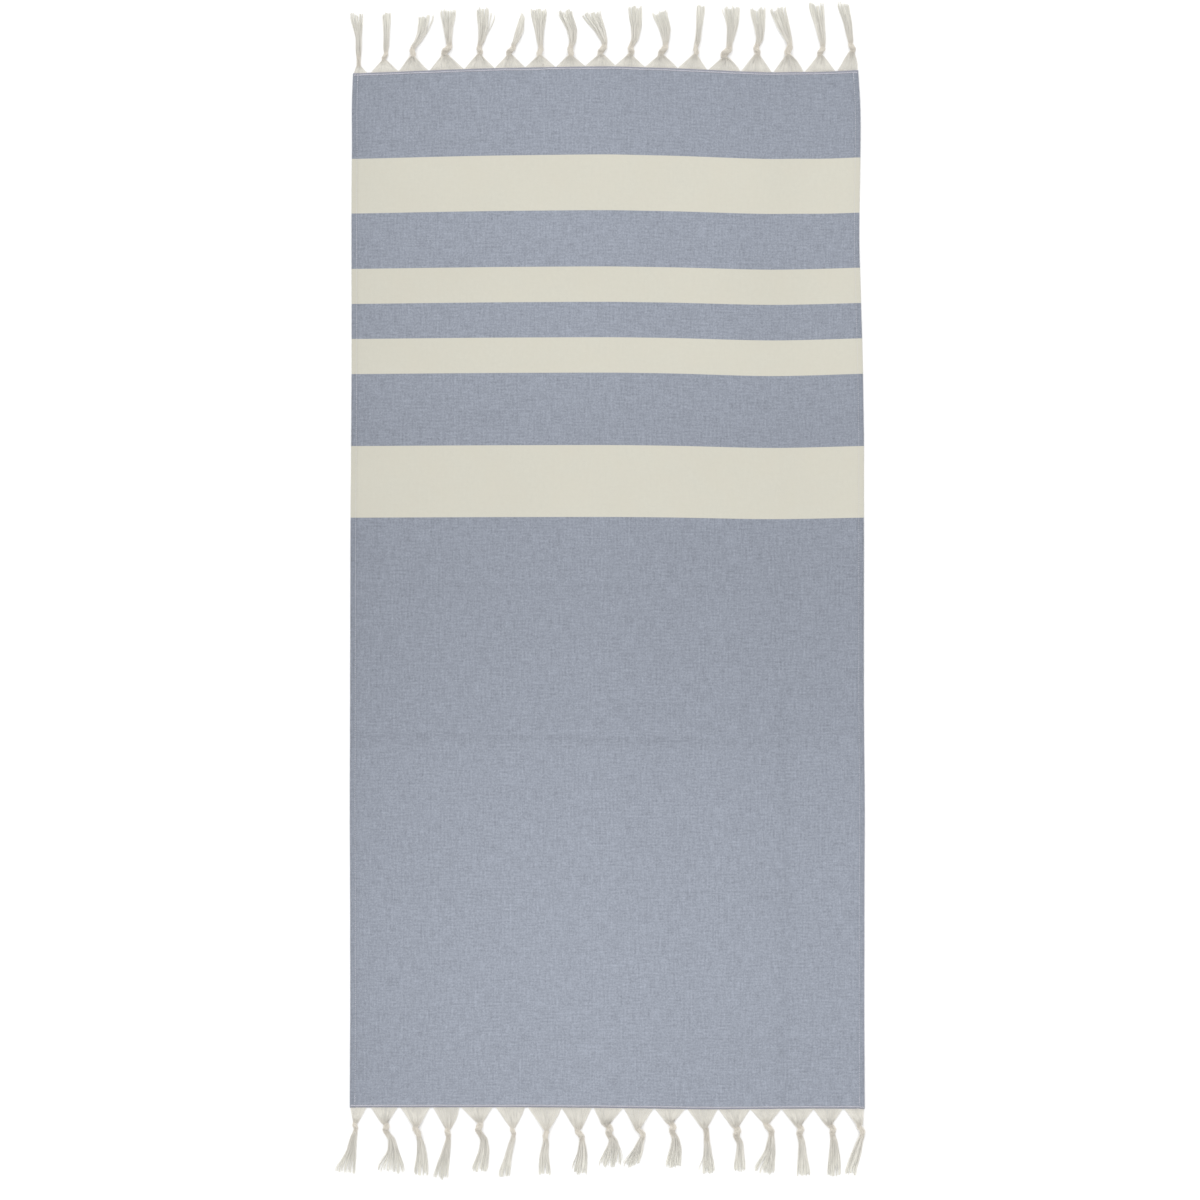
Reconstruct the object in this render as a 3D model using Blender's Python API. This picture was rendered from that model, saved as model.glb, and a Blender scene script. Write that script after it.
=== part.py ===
"""Hammam towel: one striped cotton cloth lying flat, with knotted warp tassels along both short ends.

Frame: +X across the cloth, +Y along it towards the striped head end, +Z up. The origin is the middle
of the cloth's underside, and everything rests on the plane Z = 0. Lengths in metres; the tables and
the sizes named for them are in millimetres and are scaled by MM where they are used.
"""

from typing import NamedTuple

import bmesh
import bpy
import numpy as np

MM = 0.001

# Cloth, in millimetres.
CLOTH_LENGTH = 1825.0
NOMINAL_HALF_WIDTH = 450.0
CLOTH_THICKNESS = 1.2
HEM_WIDTH = 10.0
HEM_THICKNESS = 2.0
HEM_STEP_WIDTH = 2.0
COLUMN_SPACING = 55.0
ROW_SPACING = 140.0
# The head end is pulled into a bow, which fades out down the cloth.
HEAD_BOW_REACH = 350.0
FOOT_BOW_REACH = 120.0

# Tassels, in millimetres.
PIECE_GAP = 0.5
ROOT_HEIGHT = 1.2
NECK_WIDTH_SHARE = 0.8
NECK_HEIGHT = 4.0
KNOT_HALF_LENGTH = 4.0
KNOT_NECK_LENGTH = 3.5
KNOT_HEIGHT = 7.5
WAIST_FROM_KNOT = 12.0
WAIST_WIDTH = 9.0
WAIST_HEIGHT = 5.0
MID_HEIGHT = 3.4
TIP_SETBACK = 7.0
TIP_HEIGHT = 2.4
END_WIDTH_SHARE = 0.8
END_HEIGHT = 1.2

# Half-width and height shares of a tassel's section: flat underneath, rounded above.
TASSEL_SECTION = ((-0.80, 0.0), (0.80, 0.0), (1.0, 0.40), (0.62, 0.86), (0.0, 1.0), (-0.62, 0.86), (-1.0, 0.40))


class Side(NamedTuple):
    """How far each long side stands from the centre line, at a distance from the head end."""

    from_head: float
    left: float
    right: float


SIDES = (
    Side(0, 444.6, 440.3),
    Side(25, 447, 442.8),
    Side(60, 447, 444.6),
    Side(95, 446, 445.3),
    Side(235, 447.2, 443),
    Side(305, 447.2, 442.3),
    Side(375, 446.9, 444.4),
    Side(515, 447, 448.6),
    Side(655, 447.7, 450.8),
    Side(795, 448.9, 450.6),
    Side(1110, 449.6, 450.5),
    Side(1290, 450.2, 452.2),
    Side(1460, 449.6, 451.5),
    Side(1640, 449.3, 451.3),
    Side(1825, 450.2, 451.9),
)


class Setback(NamedTuple):
    """How far a short end's edge lies inside its nominal line, at a place across the cloth.

    A negative one lies outside that line.
    """

    across: float
    inward: float


HEAD_SETBACKS = (
    Setback(-450, 11.4),
    Setback(-390, 9.2),
    Setback(-340, 7.0),
    Setback(-220, 2.6),
    Setback(-150, 1.2),
    Setback(-60, -0.4),
    Setback(0, -1.2),
    Setback(40, -0.3),
    Setback(70, 1.0),
    Setback(130, 2.5),
    Setback(180, 4.8),
    Setback(240, 7.8),
    Setback(295, 9.8),
    Setback(350, 9.4),
    Setback(400, 7.1),
    Setback(450, 4.4),
)

FOOT_SETBACKS = (
    Setback(-450, 0.5),
    Setback(-150, 1.0),
    Setback(-50, 0.0),
    Setback(30, -0.8),
    Setback(110, -2.0),
    Setback(155, -3.2),
    Setback(260, -2.4),
    Setback(340, -1.3),
    Setback(450, -1.8),
)


class Crease(NamedTuple):
    """A fold line that still stands up as a low ridge.

    at_start and at_end place its line where it starts and ends. For a crease across the cloth they
    are distances from the head end, and start and end are places across. For the crease along the
    cloth it is the other way round.
    """

    start: float
    end: float
    at_start: float
    at_end: float
    height: float
    half_width: float


CROSS_CREASES = (
    Crease(-400, 180, 120, 126, 0.8, 8),
    Crease(-450, 230, 900, 904, 0.8, 7),
    Crease(-450, 450, 1168, 1188, 2.2, 10),
    Crease(-450, 450, 1451, 1446, 0.8, 8),
    Crease(120, 450, 1702, 1704, 0.8, 8),
)
LONG_CREASE = Crease(640, 1825, 303, 306, 1.4, 12)
CREASE_FADE = 90.0
# Where a ridge has its rows, in shares of its half-width.
CREASE_ROWS = (-1.0, -0.45, 0.0, 0.45, 1.0)


class Tassel(NamedTuple):
    """One knotted bundle of warp ends; dx is to the right of its root, out is away from the edge."""

    root_x: float
    root_width: float
    knot_dx: float
    knot_out: float
    knot_width: float
    waist_dx: float
    mid_dx: float
    mid_width: float
    tip_dx: float
    tip_width: float
    length: float


# root_x, root_width, knot_dx, knot_out, knot_width, waist_dx, mid_dx, mid_width, tip_dx, tip_width, length
HEAD_TASSELS = (
    Tassel(-433, 21, -2, 18, 8, -2, -2, 10, -5, 22, 103),
    Tassel(-390, 45, 1, 27, 10, 3, 4, 10, 4, 15, 102),
    Tassel(-340, 47, -1, 32, 12, 5, 17, 17, 21, 21, 100),
    Tassel(-281, 55, 1, 35, 14, 4, 3, 16, 4, 25, 105),
    Tassel(-224, 49, 1, 32, 12, 4, 8, 18, 8, 23, 105),
    Tassel(-170, 50, 1, 30, 12, 9, 17, 14, 21, 8, 94),
    Tassel(-117, 50, 0, 27, 12, 0, -1, 16, -2, 28, 100),
    Tassel(-63, 49, -1, 27, 13, 4, 2, 18, -9, 24, 99),
    Tassel(-11, 52, 3, 29, 13, 8, -2, 21, -16, 33, 97),
    Tassel(41, 50, 1, 29, 13, 8, 11, 18, 8, 26, 106),
    Tassel(96, 54, 3, 31, 14, 8, 6, 20, -3, 25, 100),
    Tassel(151, 46, 6, 31, 11, 8, 11, 10, 14, 15, 109),
    Tassel(207, 50, 2, 32, 15, 8, 13, 18, 13, 28, 111),
    Tassel(263, 49, -1, 38, 13, 6, 5, 18, 2, 26, 113),
    Tassel(318, 48, 0, 38, 14, 3, -8, 22, -18, 28, 115),
    Tassel(373, 48, 3, 35, 12, 6, 1, 17, -5, 27, 119),
    Tassel(423, 32, 8, 39, 12, 4, 0, 14, -8, 20, 118),
)

FOOT_TASSELS = (
    Tassel(-435, 23, -6, 33, 10, -8, -13, 17, -22, 32, 114),
    Tassel(-390, 43, 2, 36, 13, 12, 16, 19, 14, 44, 113),
    Tassel(-336, 48, 2, 41, 13, 9, 12, 17, 11, 24, 117),
    Tassel(-282, 41, 3, 45, 12, 4, -2, 17, -9, 26, 125),
    Tassel(-228, 52, 2, 36, 14, 13, 13, 18, 6, 27, 111),
    Tassel(-169, 47, 5, 43, 10, 4, -3, 12, -10, 18, 120),
    Tassel(-109, 55, 2, 46, 12, 3, -1, 15, 0, 20, 116),
    Tassel(-53, 49, 6, 46, 13, 10, 10, 18, 6, 24, 116),
    Tassel(3, 47, 2, 39, 19, 9, 8, 25, 3, 33, 102),
    Tassel(56, 48, 6, 42, 12, 5, -2, 18, -10, 25, 103),
    Tassel(111, 49, 5, 34, 14, 10, 10, 20, 6, 26, 100),
    Tassel(168, 49, 7, 40, 12, 8, 9, 14, 10, 23, 110),
    Tassel(224, 51, 4, 41, 15, 10, 10, 13, 9, 19, 106),
    Tassel(279, 51, 7, 34, 14, 10, 7, 19, -2, 33, 112),
    Tassel(335, 53, 5, 39, 14, 7, 8, 14, 10, 23, 116),
    Tassel(388, 48, 10, 37, 13, 10, 11, 18, 11, 24, 116),
    Tassel(435, 34, 12, 36, 12, 11, 3, 17, -7, 20, 114),
)


class Section(NamedTuple):
    """One cross-section of a tassel: its middle across, how far out it is, its width and height."""

    x: float
    out: float
    width: float
    height: float


def clear_scene():
    """Removes every object, so that only the towel is left."""
    for scene_object in list(bpy.data.objects):
        bpy.data.objects.remove(scene_object, do_unlink=True)


def make_material(name, colour, roughness):
    """Returns a plain material with the sub-part's colour and roughness."""
    material = bpy.data.materials.new(name)
    material.use_nodes = True
    shader = material.node_tree.nodes["Principled BSDF"]
    shader.inputs["Base Color"].default_value = (*colour, 1.0)
    shader.inputs["Roughness"].default_value = roughness
    shader.inputs["Metallic"].default_value = 0.0
    return material


def add_object(name, mesh_builder, material):
    """Turns a bmesh into a named object in the scene."""
    bmesh.ops.recalc_face_normals(mesh_builder, faces=mesh_builder.faces)
    mesh = bpy.data.meshes.new(name)
    mesh_builder.to_mesh(mesh)
    mesh_builder.free()
    mesh.materials.append(material)
    towel_part = bpy.data.objects.new(name, mesh)
    bpy.context.scene.collection.objects.link(towel_part)
    return towel_part


def spread(first, last, spacing):
    """Returns evenly spaced values strictly between first and last, about spacing apart."""
    steps = max(1, round((last - first) / spacing))
    return list(np.linspace(first, last, steps + 1)[1:-1])


def fill_gaps(values, spacing):
    """Returns the sorted values with evenly spaced ones added wherever they lie far apart."""
    filled = [values[0]]
    for value in values[1:]:
        filled += spread(filled[-1], value, spacing)
        filled.append(value)
    return filled


def column_places():
    """Returns where the cloth's mesh columns lie across it."""
    hem_inside = NOMINAL_HALF_WIDTH - HEM_WIDTH
    body_start = hem_inside - HEM_STEP_WIDTH
    crease_columns = [LONG_CREASE.at_start + share * LONG_CREASE.half_width for share in CREASE_ROWS]
    inner = fill_gaps([-body_start, *crease_columns, body_start], COLUMN_SPACING)
    return [-NOMINAL_HALF_WIDTH, -hem_inside, *inner, hem_inside, NOMINAL_HALF_WIDTH]


def row_places():
    """Returns the cloth's mesh rows as distances from the head end, at the left and right sides."""
    rows = [(0.0, 0.0), (CLOTH_LENGTH, CLOTH_LENGTH)]
    for crease in CROSS_CREASES:
        for share in CREASE_ROWS:
            offset = share * crease.half_width
            rows.append((crease_line(crease, -NOMINAL_HALF_WIDTH) + offset,
                         crease_line(crease, NOMINAL_HALF_WIDTH) + offset))
    clear_of_creases = 30.0
    for side in SIDES:
        if all(abs(side.from_head - row[0]) > clear_of_creases for row in rows):
            rows.append((side.from_head, side.from_head))
    rows.sort()
    left = fill_gaps([row[0] for row in rows], ROW_SPACING)
    right = np.interp(left, [row[0] for row in rows], [row[1] for row in rows])
    return list(zip(left, right))


def crease_line(crease, place):
    """Returns where a crease's straight line lies at a place along it."""
    share = (place - crease.start) / (crease.end - crease.start)
    return crease.at_start + share * (crease.at_end - crease.at_start)


def crease_lift(crease, place, position):
    """Returns the height of one crease's ridge: place is along it, position is across it."""
    distance = abs(position - crease_line(crease, place)) / crease.half_width
    if distance >= 1.0:
        return 0.0
    fade = 1.0
    if crease.start > -NOMINAL_HALF_WIDTH:
        fade *= np.clip((place - crease.start) / CREASE_FADE, 0.0, 1.0)
    if crease.end < NOMINAL_HALF_WIDTH:
        fade *= np.clip((crease.end - place) / CREASE_FADE, 0.0, 1.0)
    return crease.height * fade * (1.0 - distance) ** 1.5


def lift(across, from_head):
    """Returns how far the cloth's underside stands above the surface."""
    heights = [crease_lift(crease, across, from_head) for crease in CROSS_CREASES]
    heights.append(crease_lift(LONG_CREASE, from_head, across))
    return max(heights)


def thickness(across):
    """Returns the cloth's thickness: doubled over at the hems along its long sides."""
    hem_inside = NOMINAL_HALF_WIDTH - HEM_WIDTH
    return np.interp(abs(across), [hem_inside - HEM_STEP_WIDTH, hem_inside], [CLOTH_THICKNESS, HEM_THICKNESS])


def setback(setbacks, across):
    """Returns how far a short end's edge lies inside its nominal line."""
    return np.interp(across, [entry.across for entry in setbacks], [entry.inward for entry in setbacks])


def cloth_place(across, from_head):
    """Returns the x and y, in millimetres, of a place named on the flat, straight cloth."""
    stations = [side.from_head for side in SIDES]
    reach = [side.left if across < 0.0 else side.right for side in SIDES]
    x = across * np.interp(from_head, stations, reach) / NOMINAL_HALF_WIDTH
    from_foot = CLOTH_LENGTH - from_head
    y = 0.5 * CLOTH_LENGTH - from_head
    y -= setback(HEAD_SETBACKS, across) * np.exp(-from_head / HEAD_BOW_REACH)
    y += setback(FOOT_SETBACKS, across) * np.exp(-from_foot / FOOT_BOW_REACH)
    return x, y


def build_cloth(material):
    """Builds the cloth: its underside as a grid, raised along the creases and extruded to thickness."""
    columns = column_places()
    rows = row_places()
    builder = bmesh.new()
    grid = []
    rise = {}
    for left, right in rows:
        line = []
        for across in columns:
            share = 0.5 + 0.5 * across / NOMINAL_HALF_WIDTH
            from_head = left + share * (right - left)
            x, y = cloth_place(across, from_head)
            vertex = builder.verts.new((x * MM, y * MM, lift(across, from_head) * MM))
            rise[vertex.co.to_tuple(6)] = thickness(across) * MM
            line.append(vertex)
        grid.append(line)
    for upper, lower in zip(grid, grid[1:]):
        for index in range(len(columns) - 1):
            builder.faces.new((upper[index], upper[index + 1], lower[index + 1], lower[index]))
    raised = bmesh.ops.extrude_face_region(builder, geom=builder.faces[:], use_keep_orig=True)
    for vertex in raised["geom"]:
        if isinstance(vertex, bmesh.types.BMVert):
            vertex.co.z += rise[vertex.co.to_tuple(6)]
    return add_object("cloth", builder, material)


def edge_line(from_head):
    """Returns the x and y lists of a short end's edge, as the cloth's own straight stretches give it."""
    places = [cloth_place(across, from_head) for across in column_places()]
    return [place[0] for place in places], [place[1] for place in places]


def tassel_sections(tassel):
    """Returns a tassel's sections from root to end: skirt, neck, knot, waist and brush."""
    knot_x = tassel.root_x + tassel.knot_dx
    neck_out = tassel.knot_out - KNOT_HALF_LENGTH - KNOT_NECK_LENGTH
    waist_out = tassel.knot_out + WAIST_FROM_KNOT
    tip_out = tassel.length - TIP_SETBACK
    tip_x = tassel.root_x + tassel.tip_dx
    return (
        Section(tassel.root_x, 0.0, tassel.root_width, ROOT_HEIGHT),
        Section(knot_x, neck_out, tassel.knot_width * NECK_WIDTH_SHARE, NECK_HEIGHT),
        Section(knot_x, tassel.knot_out - KNOT_HALF_LENGTH, tassel.knot_width, KNOT_HEIGHT),
        Section(knot_x, tassel.knot_out + KNOT_HALF_LENGTH, tassel.knot_width, KNOT_HEIGHT),
        Section(tassel.root_x + tassel.waist_dx, waist_out, WAIST_WIDTH, WAIST_HEIGHT),
        Section(tassel.root_x + tassel.mid_dx, 0.5 * (waist_out + tip_out), tassel.mid_width, MID_HEIGHT),
        Section(tip_x, tip_out, tassel.tip_width, TIP_HEIGHT),
        Section(tip_x, tassel.length, tassel.tip_width * END_WIDTH_SHARE, END_HEIGHT),
    )


def build_tassel(name, tassel, edge, outward, material):
    """Builds one tassel as a lofted solid that starts just off the cloth's edge.

    edge holds the x and y lists of that edge. outward is +1 at the head end and -1 at the foot end.
    """
    edge_x, edge_y = edge
    base_y = np.interp(tassel.root_x, edge_x, edge_y)
    builder = bmesh.new()
    rings = []
    for section in tassel_sections(tassel):
        ring = []
        for half_share, height_share in TASSEL_SECTION:
            x = section.x + half_share * 0.5 * section.width
            y = base_y + outward * section.out
            if section.out == 0.0:
                y = np.interp(x, edge_x, edge_y) + outward * PIECE_GAP
            ring.append(builder.verts.new((x * MM, y * MM, height_share * section.height * MM)))
        rings.append(ring)
    for inner, outer in zip(rings, rings[1:]):
        for index in range(len(inner)):
            following = (index + 1) % len(inner)
            builder.faces.new((inner[index], inner[following], outer[following], outer[index]))
    builder.faces.new(rings[0])
    builder.faces.new(rings[-1])
    return add_object(name, builder, material)


def build_tassels(prefix, tassels, edge, outward, material):
    """Builds one end's row of tassels, numbered from left to right."""
    for number, tassel in enumerate(tassels, start=1):
        build_tassel(f"{prefix}_{number:02d}", tassel, edge, outward, material)


def main():
    """Builds the towel: its cloth, then the tassels of its head and foot ends."""
    clear_scene()
    blue_weave = make_material("blue_weave", (0.33, 0.36, 0.42), 0.9)
    cream_yarn = make_material("cream_yarn", (0.69, 0.66, 0.58), 0.85)
    build_cloth(blue_weave)
    build_tassels("tassel_head", HEAD_TASSELS, edge_line(0.0), 1.0, cream_yarn)
    build_tassels("tassel_foot", FOOT_TASSELS, edge_line(CLOTH_LENGTH), -1.0, cream_yarn)


main()
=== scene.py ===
"""A hammam towel lying spread out: a banded plain-woven cloth, its stitched edges and its knotted tassels."""

import sys
import logging
import math
from dataclasses import dataclass, field
from enum import Enum
from typing import Mapping, Sequence

import bpy
import numpy as np
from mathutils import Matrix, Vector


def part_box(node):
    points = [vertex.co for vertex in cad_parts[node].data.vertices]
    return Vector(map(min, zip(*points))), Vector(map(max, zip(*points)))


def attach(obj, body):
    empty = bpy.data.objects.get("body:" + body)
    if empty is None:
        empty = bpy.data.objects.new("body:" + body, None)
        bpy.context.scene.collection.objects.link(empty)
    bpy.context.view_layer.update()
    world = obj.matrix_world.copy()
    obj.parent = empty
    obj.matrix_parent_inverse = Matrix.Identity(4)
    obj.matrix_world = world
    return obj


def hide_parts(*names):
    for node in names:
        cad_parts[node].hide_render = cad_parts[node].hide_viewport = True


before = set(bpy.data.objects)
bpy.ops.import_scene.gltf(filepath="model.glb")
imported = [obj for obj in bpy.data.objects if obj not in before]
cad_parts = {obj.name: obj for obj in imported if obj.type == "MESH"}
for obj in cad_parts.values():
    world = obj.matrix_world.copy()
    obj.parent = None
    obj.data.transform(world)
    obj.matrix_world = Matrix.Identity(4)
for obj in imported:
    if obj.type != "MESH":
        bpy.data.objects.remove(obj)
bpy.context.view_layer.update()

MM = 0.001
WEAVE_MAP = "weave"
LOG = logging.getLogger("towel")

Colour = tuple[float, float, float]
Stops = Sequence[tuple[float, float]]
Socket = bpy.types.NodeSocket
Tree = bpy.types.NodeTree
Piece = bpy.types.Object


def finish_colour(red: float, green: float, blue: float) -> Colour:
    """Turn a colour written 0 to 255, as a screen shows it, into the linear one that shaders take.

    Args:
        red: Red, 0 to 255.
        green: Green, 0 to 255.
        blue: Blue, 0 to 255.

    Returns:
        The linear colour, 0 to 1.
    """
    seen = np.array([red, green, blue]) / 255.0
    linear = np.where(seen <= 0.04045, seen / 12.92, ((seen + 0.055) / 1.055) ** 2.4)
    return tuple(float(value) for value in linear)


def toned(colour: Colour, share: float = 1.0) -> tuple[float, float, float, float]:
    """Scale a linear colour, and give it an alpha of one."""
    return (colour[0] * share, colour[1] * share, colour[2] * share, 1.0)


def eased(value: np.ndarray | float, low: float, high: float) -> np.ndarray:
    """Rise smoothly from 0 at low to 1 at high.

    Args:
        value: The places to read.
        low: Where the rise starts.
        high: Where it ends.

    Returns:
        The risen share at each place.
    """
    share = np.clip((np.asarray(value, float) - low) / (high - low), 0.0, 1.0)
    return share * share * (3.0 - 2.0 * share)


def smoothed(values: np.ndarray, passes: int) -> np.ndarray:
    """Take the corners out of a row of values, and keep its two ends.

    Args:
        values: The row.
        passes: How many times each value is averaged with its neighbours.

    Returns:
        The smoothed row.
    """
    row = np.array(values, float)
    for _ in range(passes):
        row[1:-1] = (row[:-2] + 2.0 * row[1:-1] + row[2:]) / 4.0
    return row


def flowing_line(points: np.ndarray, count: int) -> np.ndarray:
    """Pass a smooth line through some points, and set new ones on it at even distances.

    Args:
        points: The points that it goes through, one in each row.
        count: How many new points.

    Returns:
        The new points, one in each row.
    """
    padded = np.vstack([2 * points[0] - points[1], points, 2 * points[-1] - points[-2]])
    share = np.linspace(0.0, 1.0, 9)[:-1, None]
    runs = []
    for a, b, c, d in zip(padded[:-3], padded[1:-2], padded[2:-1], padded[3:]):
        runs.append(0.5 * (2 * b + (c - a) * share + (2 * a - 5 * b + 4 * c - d) * share**2
                           + (3 * b - a - 3 * c + d) * share**3))
    fine = np.vstack([*runs, points[-1:]])
    walked = np.concatenate([[0.0], np.cumsum(np.linalg.norm(np.diff(fine, axis=0), axis=1))])
    places = np.linspace(0.0, walked[-1], count)
    return np.stack([np.interp(places, walked, fine[:, axis]) for axis in range(3)], axis=1)


def placed(name: str, data: bpy.types.ID) -> Piece:
    """Make an object that holds some data, put it in the scene, and return it."""
    made = bpy.data.objects.new(name, data)
    bpy.context.scene.collection.objects.link(made)
    return made


# ---------------------------------------------------------------- node trees


class Wiring:
    """Sets nodes in a node tree, and joins them."""

    def __init__(self, tree: Tree) -> None:
        """Start on a tree.

        Args:
            tree: The tree that gets the nodes.
        """
        self.tree = tree

    def add(self, kind: str, inputs: Mapping[str | int, object] | None = None,
            **settings: object) -> bpy.types.Node:
        """Add a node.

        Args:
            kind: Blender's name of the node's type.
            inputs: What inputs get, by name or number: a value, or another node's output.
            **settings: The node's own settings.

        Returns:
            The node.
        """
        node = self.tree.nodes.new(kind)
        place = len(self.tree.nodes)
        node.location = (190.0 * place, -170.0 * (place % 4))
        for setting, value in settings.items():
            setattr(node, setting, value)
        self.feed(node.inputs, inputs or {})
        return node

    def feed(self, sockets: Mapping, values: Mapping[str | int, object]) -> None:
        """Give sockets what they get: a value is set, and another node's output is joined.

        Args:
            sockets: The sockets to feed.
            values: What they get, by name or number.
        """
        for socket, value in values.items():
            if isinstance(value, Socket):
                self.tree.links.new(value, sockets[socket])
            else:
                sockets[socket].default_value = value

    def maths(self, operation: str, *values: object) -> Socket:
        """Work out a number from others, and return the output that holds it."""
        return self.add("ShaderNodeMath", dict(enumerate(values)), operation=operation).outputs[0]

    def levelled(self, value: object, gain: object, base: object) -> Socket:
        """Multiply a number by a gain, set it on a base, and return the output with the sum."""
        return self.maths("MULTIPLY_ADD", value, gain, base)

    def varied(self, value: object, by: float) -> Socket:
        """Turn a share, 0 to 1, into a factor around one that varies by that much, and return the output."""
        return self.levelled(value, by, 1.0 - by / 2.0)

    def stretched(self, value: object, low: float, high: float) -> Socket:
        """Stretch a number so that low becomes 0 and high becomes 1, and return the output."""
        return self.add("ShaderNodeMapRange", {0: value, 1: low, 2: high}).outputs[0]

    def split(self, vector: object) -> bpy.types.bpy_prop_collection:
        """Take a vector apart, and return its three outputs."""
        return self.add("ShaderNodeSeparateXYZ", {0: vector}).outputs

    def scaled(self, vector: object, across: float, along: float) -> Socket:
        """Multiply a place by one number across and another along, and return the output."""
        return self.add("ShaderNodeVectorMath", {0: vector, 1: (across, along, 1.0)},
                        operation="MULTIPLY").outputs[0]

    def noise(self, vector: object, scale: object, detail: float,
              roughness: float = 0.5) -> Socket:
        """Add a noise.

        Args:
            vector: The place to read.
            scale: How many lumps there are to a unit of length.
            detail: How many finer layers lie on it.
            roughness: How strong the finer layers are.

        Returns:
            The output with the noise, 0 to 1 and a half on average.
        """
        return self.add("ShaderNodeTexNoise", {
            "Vector": vector, "Scale": scale, "Detail": detail, "Roughness": roughness}).outputs[0]

    def ramp(self, factor: object, stops: Stops) -> Socket:
        """Look a number up on a line of stops.

        Args:
            factor: Where to look, 0 to 1.
            stops: Each stop's place, and the grey it gives.

        Returns:
            The output with the grey.
        """
        node = self.add("ShaderNodeValToRGB", {0: factor})
        elements = node.color_ramp.elements
        while len(elements) < len(stops):
            elements.new(0.5)
        for element, (place, grey) in zip(elements, stops):
            element.position = place
            element.color = (grey, grey, grey, 1.0)
        return node.outputs[0]

    def mixed(self, share: object, first: object, second: object) -> Socket:
        """Mix two colours, and return the output with the mix."""
        return self.add("ShaderNodeMix", {0: share, 6: first, 7: second}, data_type="RGBA").outputs[2]

    def dimmed(self, colour: object, amount: object) -> Socket:
        """Multiply a colour by a number, and return the output with the product."""
        return self.add("ShaderNodeVectorMath", {0: colour, 3: amount}, operation="SCALE").outputs[0]

    def effect(self, group: Tree,
               inputs: Mapping[str | int, object]) -> bpy.types.bpy_prop_collection:
        """Place a shader node group.

        Args:
            group: The group.
            inputs: What its inputs get.

        Returns:
            The placed group's outputs, by name.
        """
        return self.add("ShaderNodeGroup", inputs, node_tree=group).outputs


def new_group(name: str, inputs: Mapping[str, float | int | str], outputs: Mapping[str, str] | Sequence[str],
              kind: str = "ShaderNodeTree") -> tuple[Wiring, Mapping, Mapping]:
    """Make an empty node group with named sockets.

    Args:
        name: The group's name.
        inputs: Each input's value, a number, or its kind where it starts with none, such as Vector.
        outputs: The names of the outputs, with their kinds where they are not all numbers.
        kind: ShaderNodeTree or GeometryNodeTree.

    Returns:
        The group's wiring, its inputs to read from and its outputs to feed.
    """
    tree = bpy.data.node_groups.new(name, kind)
    for label, value in inputs.items():
        form = value if isinstance(value, str) else "Int" if isinstance(value, int) else "Float"
        socket = tree.interface.new_socket(label, in_out="INPUT", socket_type=f"NodeSocket{form}")
        if value != form:
            socket.default_value = value
    for label in outputs:
        form = outputs[label] if isinstance(outputs, Mapping) else "Float"
        tree.interface.new_socket(label, in_out="OUTPUT", socket_type=f"NodeSocket{form}")
    wiring = Wiring(tree)
    return wiring, wiring.add("NodeGroupInput").outputs, wiring.add("NodeGroupOutput").inputs


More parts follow.
